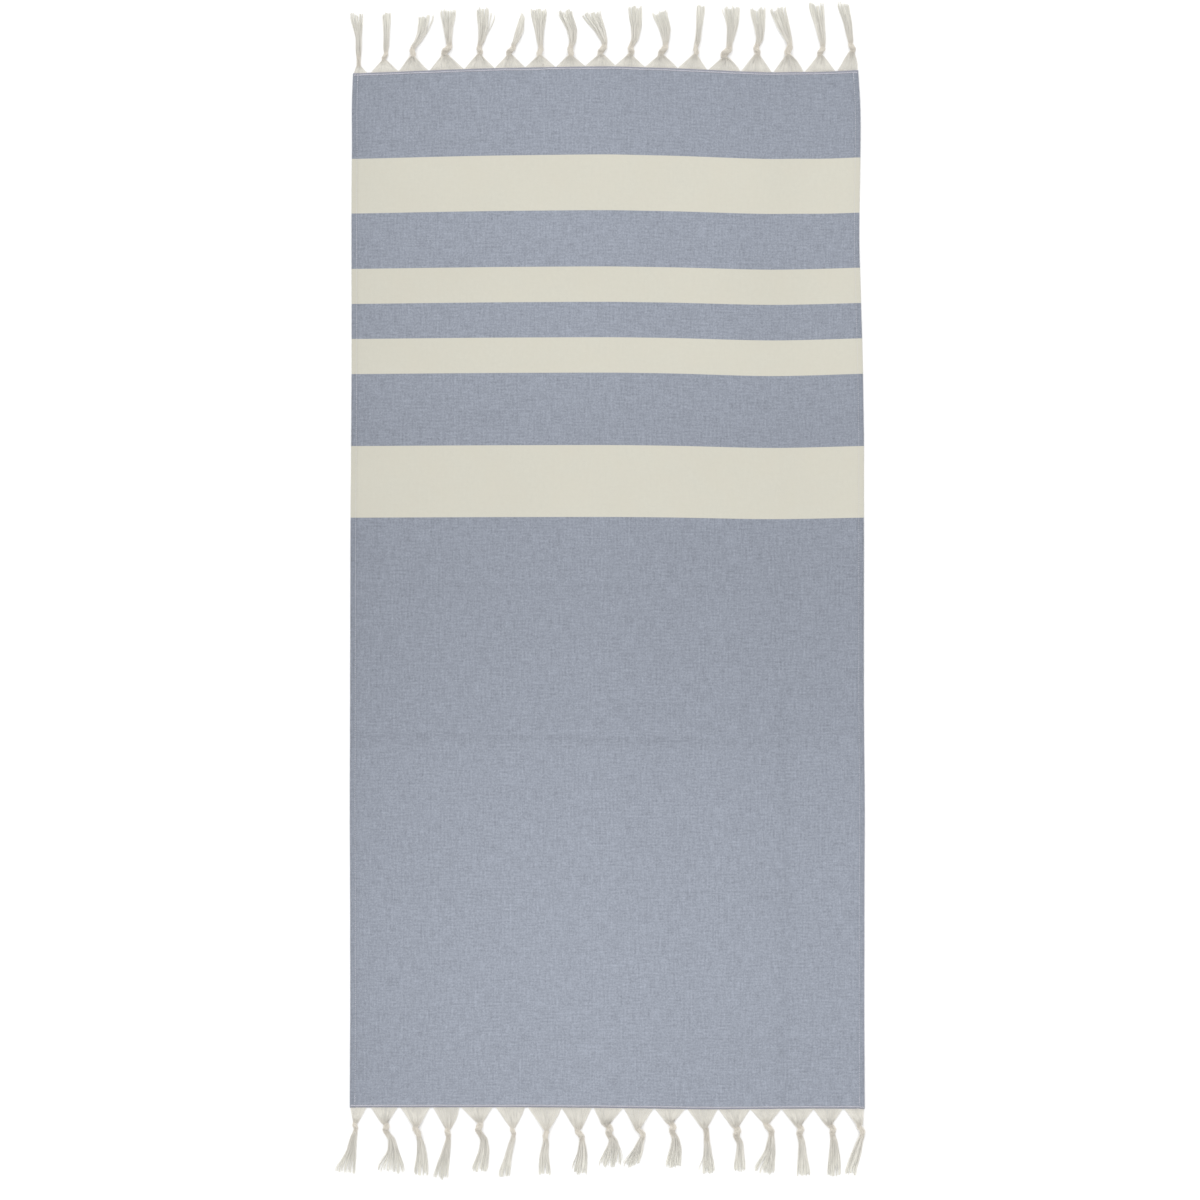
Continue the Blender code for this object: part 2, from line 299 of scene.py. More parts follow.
@dataclass(frozen=True)
class Effects:
    """The patterns that the finishes share, each a shader node group."""

    plain_weave: Tree
    yarn_streaks: Tree
    ply_twist: Tree
    handling: Tree

    @classmethod
    def made(cls) -> "Effects":
        """Build each group once."""
        return cls(cls._plain_weave(), cls._yarn_streaks(), cls._ply_twist(), cls._handling())

    @staticmethod
    def _plain_weave() -> Tree:
        """Build warp and weft passing over and under each other, one and one."""
        wiring, given, out = new_group(
            "Plain weave", {"Place": "Vector", "Warp spacing": 0.75 * MM, "Weft spacing": 0.62 * MM,
                            "Unevenness": 0.5}, ["Warp on top", "Height"])
        apart = wiring.split(given["Place"])
        beside, lengthwise, wander, crisp = 220.0, 35.0, 4.0, 0.45
        waves = []
        for axis, spacing, turned in ((0, "Warp spacing", (beside, lengthwise)),
                                      (1, "Weft spacing", (lengthwise, beside))):
            drift = wiring.noise(wiring.scaled(given["Place"], *turned), 1.0, 1.0)
            drift = wiring.maths("MULTIPLY", wiring.maths("SUBTRACT", drift, 0.5), given["Unevenness"])
            count = wiring.levelled(drift, wander, wiring.maths("DIVIDE", apart[axis], given[spacing]))
            waves.append(wiring.maths("SINE", wiring.maths("MULTIPLY", count, math.pi)))
        crossing = wiring.maths("MULTIPLY", *waves)
        wiring.feed(out, {"Warp on top": wiring.stretched(crossing, -crisp, crisp),
                          "Height": wiring.maths("ABSOLUTE", crossing)})
        return wiring.tree

    @staticmethod
    def _yarn_streaks() -> Tree:
        """Build the short light and dark streaks that uneven warp and weft yarns give a cloth."""
        wiring, given, out = new_group("Yarn streaks", {"Place": "Vector", "Blotch": 0.3}, ["Streaks", "Cloud"])
        warp_streak, weft_streak, speck_size = (3.4 * MM, 30.0 * MM), (26.0 * MM, 3.2 * MM), 3.4 * MM
        clouds_to_metre = 9.0
        warp, weft = (wiring.noise(wiring.scaled(given["Place"], 1 / wide, 1 / long), 1.0, 2.0, 0.6)
                      for wide, long in (warp_streak, weft_streak))
        speck = wiring.noise(given["Place"], 1 / speck_size, 2.0, 0.6)
        lines = wiring.maths("MULTIPLY", wiring.maths("ADD", warp, weft),
                             wiring.maths("SUBTRACT", 1.0, given["Blotch"]))
        total = wiring.levelled(wiring.maths("MULTIPLY", speck, 2.0), given["Blotch"], lines)
        wiring.feed(out, {"Streaks": wiring.stretched(wiring.maths("MULTIPLY", total, 0.5), 0.32, 0.68),
                          "Cloud": wiring.noise(given["Place"], clouds_to_metre, 3.0)})
        return wiring.tree

    @staticmethod
    def _ply_twist() -> Tree:
        """Build the slanting grooves between the strands of a twisted yarn or thread."""
        wiring, given, out = new_group(
            "Ply twist", {"Along": 0.0, "Round": "Vector", "Lay": 1.6 * MM}, ["Height", "Hollow"])
        turn = wiring.maths("DIVIDE", wiring.maths("MULTIPLY", given["Along"], 2 * math.pi), given["Lay"])
        apart = wiring.split(given["Round"])
        wave = wiring.levelled(apart[0], wiring.maths("SINE", turn),
                               wiring.maths("MULTIPLY", apart[1], wiring.maths("COSINE", turn)))
        height = wiring.maths("ABSOLUTE", wave)
        hollow = wiring.maths("POWER", wiring.maths("SUBTRACT", 1.0, height), 3.0)
        wiring.feed(out, {"Height": height, "Hollow": hollow})
        return wiring.tree

    @staticmethod
    def _handling() -> Tree:
        """Build the soft uneven patches that washing and handling leave on cotton."""
        wiring, given, out = new_group("Handling", {"Place": "Vector", "Size": 60.0 * MM}, ["Patches"])
        patches = wiring.noise(given["Place"], wiring.maths("DIVIDE", 1.0, given["Size"]), 3.0, 0.6)
        wiring.feed(out, {"Patches": wiring.stretched(patches, 0.3, 0.7)})
        return wiring.tree


# ---------------------------------------------------------------- finishes


def new_material(name: str) -> tuple[Wiring, bpy.types.Node]:
    """Make a material with only its Principled shader.

    Args:
        name: The material's name.

    Returns:
        The material's wiring and the shader.
    """
    material = bpy.data.materials.new(name)
    material.use_nodes = True
    tree = material.node_tree
    tree.nodes.clear()
    wiring = Wiring(tree)
    shader = wiring.add("ShaderNodeBsdfPrincipled")
    wiring.add("ShaderNodeOutputMaterial", {0: shader.outputs[0]})
    return wiring, shader


@dataclass(frozen=True)
class ClothFinish:
    """The woven cotton: a cream warp, and a weft that is dusty blue or cream."""

    name: str = "blue_weave_cotton"
    blue: Colour = finish_colour(143.5, 149.0, 160.2)
    cream: Colour = finish_colour(200.5, 198.5, 186.5)
    # The dark line at each short end: partly densely packed weft, partly painted shade at the cut edge.
    edge: Colour = finish_colour(141.0, 142.0, 153.0)
    warp_spacing: float = 0.75 * MM
    weft_spacing: float = 0.62 * MM
    blotch: float = 0.45
    patch_size: float = 55.0 * MM
    slub_size: float = 7.5 * MM
    slub_variation: float = 0.07
    cloud_variation: float = 0.05
    weave_share: float = 0.28
    blue_contrast: float = 0.40
    cream_contrast: float = 0.032
    yellowed: Colour = (0.995, 0.975, 0.955)
    yellowing: float = 0.5
    # How far the painted light and shade, with the uneven tone, can move the colour.
    light_and_tone_range: float = 0.3
    dark_edge_depth: tuple[float, float] = (2.3 * MM, 1.7 * MM)
    relief_depth: float = 0.12 * MM
    relief_strength: float = 0.35
    streak_relief: float = 0.8
    roughness: float = 0.84
    roughening: float = 0.08
    sheen: float = 0.12
    shine: float = 0.2

    def lit_and_toned(self, wiring: Wiring, places: Sequence[object], stops: Sequence[Stops]) -> Socket:
        """Look up the painted light and shade across and down the cloth, mixed with the yarn's uneven tone, as
        a number near one.

        Args:
            wiring: The material's wiring.
            places: How far down and how far across the cloth, each 0 to 1.
            stops: For each of the two, places and tones, where a half is no change.

        Returns:
            The output to multiply the colour by.
        """
        return wiring.maths("MULTIPLY", *(
            wiring.varied(wiring.ramp(place, tones), self.light_and_tone_range) for place, tones in zip(places, stops)))

    def in_bands(self, wiring: Wiring, down: object, bands: Stops) -> Socket:
        """Find where the weft is cream.

        Args:
            wiring: The material's wiring.
            down: How far down the cloth, in metres.
            bands: Where each cream band starts and ends.

        Returns:
            The output that is 1 in the bands and 0 between them.
        """
        share = 0.0
        for start, end in bands:
            band = wiring.maths("MULTIPLY", wiring.maths("GREATER_THAN", down, start),
                                wiring.maths("LESS_THAN", down, end))
            share = wiring.maths("ADD", band, share)
        return share

    def material(self, cloth: "ClothPanel", effects: Effects) -> bpy.types.Material:
        """Build the material.

        Args:
            cloth: The cloth that wears it, for its length, width and bands.
            effects: The shared patterns.

        Returns:
            The material.
        """
        wiring, shader = new_material(self.name)
        place = wiring.add("ShaderNodeUVMap", uv_map=WEAVE_MAP).outputs[0]
        across, down, _ = wiring.split(place)
        shares = (wiring.maths("DIVIDE", down, cloth.length),
                  wiring.levelled(across, 1.0 / (2.0 * cloth.half_width), 0.5))

        weave = wiring.effect(effects.plain_weave, {"Place": place, "Warp spacing": self.warp_spacing,
                                                    "Weft spacing": self.weft_spacing})
        streaks = wiring.effect(effects.yarn_streaks, {"Place": place, "Blotch": self.blotch})
        patches = wiring.effect(effects.handling, {"Place": place, "Size": self.patch_size})["Patches"]

        light = wiring.levelled(streaks["Streaks"], 1.0 - self.weave_share,
                                wiring.maths("MULTIPLY", weave["Warp on top"], self.weave_share))
        blue, cream = (wiring.mixed(light, toned(colour, 1.0 - contrast), toned(colour, 1.0 + contrast))
                       for colour, contrast in ((self.blue, self.blue_contrast),
                                                (self.cream, self.cream_contrast)))
        slub = wiring.noise(place, 1 / self.slub_size, 2.0, 0.6)
        cream = wiring.dimmed(cream, wiring.varied(slub, self.slub_variation))
        yellowed = tuple(part * kept for part, kept in zip(self.cream, self.yellowed))
        cream = wiring.mixed(wiring.maths("MULTIPLY", patches, self.yellowing), cream, toned(yellowed))

        # Painted shade: a darker band along the long crease.
        crease_shade = wiring.maths("MULTIPLY", *(wiring.ramp(share, stops)
                                          for share, stops in zip(shares, cloth.crease_shade)))
        # Painted light and shade, mixed with uneven tone, multiplies the blue and the cream; the blue also
        # takes the painted crease shade.
        blue_shading_and_tone = wiring.maths("MULTIPLY", self.lit_and_toned(wiring, shares, cloth.blue_light_and_tone),
                                 wiring.levelled(crease_shade, -cloth.crease_shade_depth, 1.0))
        blue = wiring.dimmed(blue, blue_shading_and_tone)
        cream = wiring.dimmed(cream, self.lit_and_toned(wiring, shares, cloth.cream_light_and_tone))
        woven = wiring.mixed(self.in_bands(wiring, down, cloth.bands), blue, cream)
        woven = wiring.dimmed(woven, wiring.varied(streaks["Cloud"], self.cloud_variation))

        # The last two millimetres of each short end turn dark: partly packed weft, partly painted edge shade.
        to_end = wiring.maths("MINIMUM", down, wiring.maths("SUBTRACT", cloth.length, down))
        woven = wiring.mixed(wiring.stretched(to_end, *self.dark_edge_depth), woven, toned(self.edge))
        relief = wiring.levelled(streaks["Streaks"], self.streak_relief, weave["Height"])
        bump = wiring.add("ShaderNodeBump", {"Strength": self.relief_strength, "Distance": self.relief_depth,
                                             "Height": relief})
        wiring.feed(shader.inputs, {
            "Base Color": woven, "Normal": bump.outputs[0],
            "Roughness": wiring.levelled(patches, self.roughening, self.roughness),
            "Sheen Weight": self.sheen, "Specular IOR Level": self.shine})
        return bpy.data.materials[self.name]


@dataclass(frozen=True)
class YarnFinish:
    """A spun yarn or sewing thread, each one a little lighter or darker than the next."""

    name: str
    colour: Colour
    # Darker colour where the knot holds the yarn tight: partly soil, partly painted shade between the wraps.
    snug_soil_and_shade_colour: Colour
    tip_colour: Colour
    lay: float = 1.6 * MM
    variation: float = 0.12
    groove_shade: float = 0.12
    groove_depth: float = 0.08 * MM
    groove_strength: float = 0.5
    patch_size: float = 20.0 * MM
    patch_variation: float = 0.06
    roughness: float = 0.86
    roughening: float = 0.08
    sheen: float = 0.2
    shine: float = 0.2

    def material(self, effects: Effects) -> bpy.types.Material:
        """Build the material.

        Args:
            effects: The shared patterns.

        Returns:
            The material.
        """
        wiring, shader = new_material(self.name)
        along, tint, snug, reach = (
            wiring.add("ShaderNodeAttribute", attribute_name=f"yarn_{key}").outputs["Fac"]
            for key in ("along", "tint", "snug", "reach"))
        around = wiring.add("ShaderNodeAttribute", attribute_name="yarn_round").outputs["Vector"]
        place = wiring.add("ShaderNodeTexCoord").outputs["Object"]
        ply = wiring.effect(effects.ply_twist, {"Along": along, "Round": around, "Lay": self.lay})
        patches = wiring.effect(effects.handling, {"Place": place, "Size": self.patch_size})["Patches"]
        colour = wiring.mixed(reach, toned(self.colour), toned(self.tip_colour))
        # Darker where the yarn is held tight in the knot: partly soil, partly painted shade.
        colour = wiring.mixed(snug, colour, toned(self.snug_soil_and_shade_colour))
        shade = wiring.maths("MULTIPLY", wiring.varied(tint, self.variation),
                             wiring.varied(patches, self.patch_variation))
        shade = wiring.levelled(ply["Hollow"], -self.groove_shade, shade)
        bump = wiring.add("ShaderNodeBump", {"Strength": self.groove_strength, "Distance": self.groove_depth,
                                             "Height": ply["Height"]})
        wiring.feed(shader.inputs, {
            "Base Color": wiring.dimmed(colour, shade), "Normal": bump.outputs[0],
            "Roughness": wiring.levelled(ply["Hollow"], self.roughening, self.roughness),
            "Sheen Weight": self.sheen, "Specular IOR Level": self.shine})
        return bpy.data.materials[self.name]


FRINGE_YARN = YarnFinish("cream_fringe_yarn", finish_colour(227, 224, 216), finish_colour(221, 215, 204),
                         finish_colour(237, 235, 226))
HEM_THREAD = YarnFinish("lockstitch_thread", finish_colour(212, 212, 220), finish_colour(206, 205, 215),
                        finish_colour(212, 212, 220), lay=0.9 * MM, variation=0.06)
END_THREAD = YarnFinish("zigzag_thread", finish_colour(218, 217, 225), finish_colour(210, 209, 217),
                        finish_colour(218, 217, 225), lay=0.9 * MM, variation=0.06)


@dataclass(frozen=True)
class FloorFinish:
    """A matt, pale studio floor."""

    name: str = "studio_floor"
    colour: Colour = (0.97, 0.97, 0.97)
    roughness: float = 0.8
    roughening: float = 0.1
    patches_to_metre: float = 3.0
    shine: float = 0.1

    def material(self) -> bpy.types.Material:
        """Build the material, with a faint unevenness in its polish."""
        wiring, shader = new_material(self.name)
        place = wiring.add("ShaderNodeTexCoord").outputs["Object"]
        patches = wiring.noise(place, self.patches_to_metre, 3.0)
        rough = wiring.levelled(patches, self.roughening, self.roughness)
        wiring.feed(shader.inputs, {"Base Color": toned(self.colour), "Roughness": rough,
                                    "Specular IOR Level": self.shine})
        return bpy.data.materials[self.name]


# ---------------------------------------------------------------- the CAD frame


@dataclass(frozen=True)
class NodeShape:
    """The mesh of a CAD node, read by cutting across it."""

    starts: np.ndarray
    ends: np.ndarray

    @classmethod
    def of(cls, node: str) -> "NodeShape":
        """Take up a CAD node.

        Args:
            node: The node's name.

        Returns:
            Its shape.
        """
        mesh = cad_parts[node].data
        points = np.empty((len(mesh.vertices), 3))
        mesh.vertices.foreach_get("co", points.ravel())
        pairs = np.empty((len(mesh.edges), 2), dtype=np.int32)
        mesh.edges.foreach_get("vertices", pairs.ravel())
        return cls(points[pairs[:, 0]], points[pairs[:, 1]])

    def cut(self, axis: int, place: float) -> np.ndarray:
        """Cut the node square to an axis.

        Args:
            axis: 0 for X, 1 for Y, 2 for Z.
            place: Where on that axis.

        Returns:
            The lowest and highest corner of the cut.
        """
        before = self.starts[:, axis] - place
        after = self.ends[:, axis] - place
        crossed = before * after < 0.0
        share = (before[crossed] / (before[crossed] - after[crossed]))[:, None]
        met = self.starts[crossed] + share * (self.ends[crossed] - self.starts[crossed])
        return np.stack([met.min(axis=0), met.max(axis=0)])

    def corner(self, right: float, far: float) -> np.ndarray:
        """Find the corner that lies furthest that way: right and far are each -1 or 1."""
        points = np.vstack([self.starts, self.ends])
        return points[np.argmax(right * points[:, 0] + far * points[:, 1])]


# ---------------------------------------------------------------- the cloth


@dataclass(frozen=True)
class Wave:
    """A gentle ripple, with how fast it turns across and down the cloth, in radians to a metre."""

    across: float = 0.0
    down: float = 0.0
    phase: float = 0.0

    def at(self, across: np.ndarray | float, from_head: np.ndarray | float) -> np.ndarray:
        """Give its height at each place, -1 to 1."""
        return np.sin(self.across * across + self.down * from_head + self.phase)


@dataclass(frozen=True)
class Crease:
    """A fold mark that stands up a little: its two ends as (across, from_head), height and half-width."""

    start: tuple[float, float]
    end: tuple[float, float]
    height: float
    half_width: float
    fade: float = 0.05
    bends: tuple[tuple[float, Wave], ...] = ((1.2 * MM, Wave(31.0, 0.0, 2.0)), (0.8 * MM, Wave(83.0)))
    unevenness: float = 0.15
    swell: Wave = Wave(19.0, 0.0, 1.0)

    def lift(self, across: np.ndarray, from_head: np.ndarray) -> np.ndarray:
        """Say how far the cloth stands up at each place."""
        run = np.array(self.end) - np.array(self.start)
        length = float(np.linalg.norm(run))
        forward = run / length
        off = np.stack([across - self.start[0], from_head - self.start[1]], axis=-1)
        along = off @ forward
        away = off @ np.array([-forward[1], forward[0]])
        away = away + sum(by * wave.at(along, 0.0) for by, wave in self.bends)
        starts = eased(along, -self.fade, self.fade)
        stops = eased(along, length - self.fade, length + self.fade)
        uneven = 1.0 - self.unevenness + self.unevenness * self.swell.at(along, 0.0)
        return self.height * starts * (1.0 - stops) * uneven * np.exp(-2.0 * (away / self.half_width) ** 2)


@dataclass
class ClothPanel:
    """The woven panel: one closed sheet with turned side hems, whose short ends bow."""

    node: str = "cloth"
    thickness: float = 1.05 * MM
    rim_swell: float = 0.3 * MM
    end_thickness: float = 0.72
    end_taper: float = 1.5 * MM
    hem_width: float = 10.0 * MM
    hem_rise: float = 0.85 * MM
    hem_rounding: float = 1.6 * MM
    hem_edge_share: float = 0.35
    hem_step: tuple[float, float] = (-0.5 * MM, 0.9 * MM)
    hem_allowance: float = 15.0 * MM
    seam_inset: float = 8.6 * MM
    seam_dent: float = 0.38 * MM
    seam_dent_width: float = 0.8 * MM
    hem_puffs: tuple[Wave, Wave] = (Wave(0.0, 190.0), Wave(0.0, 71.0))
    hem_puffiness: float = 0.10
    head_bulge: float = 1.2 * MM
    head_bow_reach: float = 0.35
    foot_bow_reach: float = 0.12
    sag_depth: float = 3.9 * MM
    corner_sag: float = 1.8 * MM
    corner_sag_across: tuple[float, float] = (0.32, 0.41)
    corner_sag_down: tuple[float, float] = (0.22, 0.36)
    sag_centre: float = 0.285
    sag_reach: float = 0.10
    sag_from_head: Stops = (
        (0.0, 0.0), (0.1, 0.25), (0.25, 0.38), (0.41, 0.55), (0.54, 1.0), (0.66, 0.9), (0.79, 0.7), (1.15, 0.0))
    column_step: float = 7.4 * MM
    row_step: float = 8.4 * MM
    column_gap: float = 2.0 * MM
    crease_column_step: float = 2.6 * MM
    crease_columns: int = 6
    crease_row_step: float = 2.8 * MM
    crease_margin: float = 10.0 * MM
    lie: float = 0.30 * MM
    low_wave_height: float = 0.34 * MM
    low_waves: tuple[tuple[float, Wave, Wave], ...] = (
        (1.0, Wave(9.1, 5.3, 0.6), Wave(-4.1, 7.3, 1.1)), (0.6, Wave(17.0, -6.1, 2.0), Wave(0.0, 13.0, 0.4)))
    side_flutter: float = 0.30 * MM
    side_waves: tuple[Wave, Wave] = (Wave(3.0, 46.0), Wave(0.0, 19.0, 0.8))
    end_flutter: float = 0.20 * MM
    end_waves: tuple[Wave, Wave] = (Wave(38.0, 0.0, 1.3), Wave(61.0))
    flutter_reach: float = 30.0 * MM
    bands: Stops = ((0.154, 0.2515), (0.350, 0.412), (0.474, 0.536), (0.663, 0.789))
    creases: tuple[Crease, ...] = (
        Crease((-0.46, 1.164), (0.46, 1.184), 0.75 * MM, 9.0 * MM),
        Crease((-0.32, 1.1645), (0.17, 1.1760), 1.2 * MM, 15.0 * MM, 0.10),
        Crease((-0.46, 0.902), (0.18, 0.906), 0.55 * MM, 8.0 * MM),
        Crease((-0.02, 1.109), (0.14, 1.113), 0.55 * MM, 7.0 * MM, 0.02),
        Crease((-0.20, 1.444), (0.30, 1.442), 0.75 * MM, 8.0 * MM, 0.03),
        Crease((-0.16, 1.698), (0.43, 1.700), 0.6 * MM, 8.0 * MM, 0.03),
        Crease((-0.40, 0.120), (0.18, 0.126), 0.45 * MM, 7.0 * MM))
    long_crease: Crease = Crease((0.303, 0.64), (0.306, 1.86), 0.6 * MM, 12.0 * MM, 0.08)
    # Painted light and shade mixed with uneven tone: darker in the upper middle and brighter towards the foot
    # end, brighter near the middle than at the sides, darker along the hems, with a step at the main crease and
    # a dip at the long crease.
    blue_light_and_tone: tuple[Stops, Stops] = (
        ((0.0, 0.47), (0.05, 0.50), (0.09, 0.51), (0.156, 0.57), (0.19, 0.52), (0.25, 0.49), (0.311, 0.41),
         (0.35, 0.33), (0.43, 0.29), (0.476, 0.27), (0.51, 0.29), (0.56, 0.33), (0.60, 0.39), (0.646, 0.405),
         (0.653, 0.52), (0.69, 0.56), (0.72, 0.61), (0.77, 0.66), (0.81, 0.70), (0.87, 0.737), (0.91, 0.72),
         (0.94, 0.68), (1.0, 0.68)),
        ((0.0, 0.0), (0.009, 0.04), (0.0127, 0.20), (0.03, 0.255), (0.052, 0.29), (0.083, 0.34),
         (0.145, 0.383), (0.207, 0.445), (0.27, 0.468), (0.36, 0.507), (0.43, 0.53), (0.49, 0.539),
         (0.52, 0.50), (0.61, 0.455), (0.67, 0.455), (0.705, 0.48), (0.767, 0.41), (0.83, 0.400),
         (0.86, 0.390), (0.89, 0.405), (0.92, 0.38), (0.97, 0.39), (0.9873, 0.35), (0.991, 0.15), (1.0, 0.10)))
    cream_light_and_tone: tuple[Stops, Stops] = (
        ((0.0, 0.50), (0.14, 0.50), (0.19, 0.44), (0.22, 0.455), (0.27, 0.47), (0.30, 0.46), (0.36, 0.42),
         (1.0, 0.42)),
        ((0.0, 0.22), (0.01, 0.28), (0.0125, 0.36), (0.036, 0.39), (0.10, 0.44), (0.22, 0.475), (0.285, 0.51),
         (0.41, 0.545), (0.5, 0.545), (0.66, 0.56), (0.78, 0.525), (0.84, 0.495), (0.91, 0.53), (0.97, 0.55),
         (0.9875, 0.53), (0.99, 0.47), (1.0, 0.42)))
    # Painted shade along the long crease, over the lower part of the cloth: its depth, then its stops down and
    # across.
    crease_shade_depth: float = 0.036
    crease_shade: tuple[Stops, Stops] = (
        ((0.0, 0.0), (0.36, 0.0), (0.58, 0.3), (0.64, 1.0), (1.0, 0.9)),
        ((0.0, 0.0), (0.823, 0.0), (0.8435, 1.0), (0.864, 0.0), (1.0, 0.0)))
    finish: ClothFinish = field(default_factory=ClothFinish)

    def __post_init__(self) -> None:
        """Read the outline off the CAD node."""
        shape = NodeShape.of(self.node)
        head_left, head_right, foot_left, foot_right = (
            shape.corner(right, far) for far in (1.0, -1.0) for right in (-1.0, 1.0))
        inside, cut_count, side_passes, end_passes = 0.2 * MM, 121, 3, 4
        self.side_y = np.linspace(max(foot_left[1], foot_right[1]) + inside,
                                  min(head_left[1], head_right[1]) - inside, cut_count)
        cuts = np.array([shape.cut(1, y) for y in self.side_y])
        self.left_x, self.right_x = (smoothed(cuts[:, side, 0], side_passes) for side in (0, 1))
        self.end_x = np.linspace(max(head_left[0], foot_left[0]) + inside,
                                 min(head_right[0], foot_right[0]) - inside, cut_count)
        cuts = np.array([shape.cut(0, x) for x in self.end_x])
        self.foot_y, self.head_y = (smoothed(cuts[:, side, 1], end_passes) for side in (0, 1))
        low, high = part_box(self.node)
        self.top_y = float(high.y) - self.head_bulge
        self.length = self.top_y - float(low.y)
        self.half_width = float(np.mean(self.right_x - self.left_x)) / 2.0

    def edge(self, x: np.ndarray | float, outward: float) -> np.ndarray:
        """Give the Y of a short end at each X: the head end where outward is 1, the foot end where it is -1."""
        return np.interp(x, self.end_x, self.head_y if outward > 0 else self.foot_y)

    def lift(self, across: np.ndarray, from_head: np.ndarray) -> np.ndarray:
        """Say how far the underside is off the surface that the towel lies on.

        Args:
            across: Places across the cloth, from its middle.
            from_head: Places down the cloth, from its head end.

        Returns:
            The lift at each place, never below zero.
        """
        waves = sum(high * one.at(across, from_head) * two.at(across, from_head)
                    for high, one, two in self.low_waves)
        lowest = sum(high for high, _, _ in self.low_waves)
        rise = self.lie + self.low_wave_height * (waves + lowest)
        to_side = self.half_width - np.abs(across)
        to_end = np.minimum(from_head, self.length - from_head)
        for high, (one, two), place, off in ((self.side_flutter, self.side_waves, np.sign(across), to_side),
                                             (self.end_flutter, self.end_waves, across, to_end)):
            flutter = one.at(place, from_head) * two.at(place, from_head) + 1.0
            rise = rise + high * flutter * np.exp(-np.clip(off, 0.0, None) / self.flutter_reach)
        for crease in (*self.creases, self.long_crease):
            rise = rise + crease.lift(across, from_head)
        return np.clip(rise, 0.0, None)

    def hem(self, to_side: np.ndarray, from_head: np.ndarray) -> np.ndarray:
        """Say how much thicker the turned hem makes the cloth, that far in from its side."""
        rounded = np.sqrt(np.clip(1.0 - (1.0 - np.clip(to_side / self.hem_rounding, 0.0, 1.0)) ** 2, 0.0, 1.0))
        inner = 1.0 - eased(to_side, *(self.hem_width + step for step in self.hem_step))
        seam = np.exp(-((to_side - self.seam_inset) / self.seam_dent_width) ** 2)
        one, two = self.hem_puffs
        puff = 1.0 + self.hem_puffiness * one.at(0.0, from_head) * two.at(0.0, from_head)
        rounded = self.hem_edge_share + (1.0 - self.hem_edge_share) * rounded
        return self.hem_rise * inner * rounded * puff - self.seam_dent * seam

    def sag(self, across: np.ndarray, from_head: np.ndarray) -> np.ndarray:
        """Say how far the weft is dragged towards the foot end, where the cloth was smoothed out by hand."""
        along = np.interp(from_head, *zip(*self.sag_from_head))
        middle = self.sag_depth * along * np.exp(-0.5 * ((across - self.sag_centre) / self.sag_reach) ** 2)
        corner = self.corner_sag * eased(across, *self.corner_sag_across) * (
            1.0 - eased(from_head, *self.corner_sag_down))
        return middle + corner

    def surface(self, across: np.ndarray, from_head: np.ndarray) -> tuple[np.ndarray, np.ndarray]:
        """Place points of the cloth.

        Args:
            across: Places across the cloth, from its middle, out to its half-width.
            from_head: Places down the cloth, from its head end.

        Returns:
            The points on its upper side, and those on its underside.
        """
        share = np.clip(across / self.half_width, -1.0, 1.0)
        guess_x = share * self.half_width
        head_back = self.top_y - self.edge(guess_x, 1.0)
        foot_up = self.edge(guess_x, -1.0) - (self.top_y - self.length)
        y = (self.top_y - from_head - head_back * np.exp(-from_head / self.head_bow_reach)
             + foot_up * np.exp(-(self.length - from_head) / self.foot_bow_reach)
             - self.sag(guess_x, from_head))
        side_x = np.where(share < 0.0, -np.interp(y, self.side_y, self.left_x),
                          np.interp(y, self.side_y, self.right_x))
        x = share * side_x
        low = self.lift(across, from_head)
        thick = self.thickness + self.hem(self.half_width - np.abs(across), from_head)
        to_end = np.minimum(from_head, self.length - from_head)
        thick = thick * (self.end_thickness + (1.0 - self.end_thickness) * eased(to_end, 0.0, self.end_taper))
        return np.stack([x, y, low + thick], axis=-1), np.stack([x, y, low], axis=-1)

    def columns(self) -> np.ndarray:
        """Choose places across the cloth: close together in the hems and the long crease."""
        hem = np.array([0.0, 0.35, 0.9, 1.8, 3.4, 5.4, 7.2, 8.0, 8.6, 9.2, 9.8, 10.4, 11.2, 13.0, 16.0]) * MM
        inner = self.half_width - hem[-1]
        plain = np.arange(-inner, inner, self.column_step)[1:]
        crease_x = (self.long_crease.start[0] + self.long_crease.end[0]) / 2.0
        close = np.arange(-self.crease_columns, self.crease_columns + 1) * self.crease_column_step + crease_x
        plain = plain[np.abs(plain[:, None] - close[None, :]).min(axis=1) > self.column_gap]
        return np.sort(np.concatenate([-self.half_width + hem, plain, close, self.half_width - hem]))

    def rows(self) -> np.ndarray:
        """Choose places down the cloth: close together at its ends and in the creases."""
        end = np.array([0.0, 0.5, 1.2, 2.0, 3.4, 5.0, 7.0, 10.0]) * MM
        places = list(end) + list(self.length - end)
        place = end[-1]
        while place < self.length - end[-1] - self.row_step:
            near = any(min(crease.start[1], crease.end[1]) - self.crease_margin < place
                       < max(crease.start[1], crease.end[1]) + self.crease_margin for crease in self.creases)
            place += self.crease_row_step if near else self.row_step
            places.append(place)
        return np.unique(np.array(places))

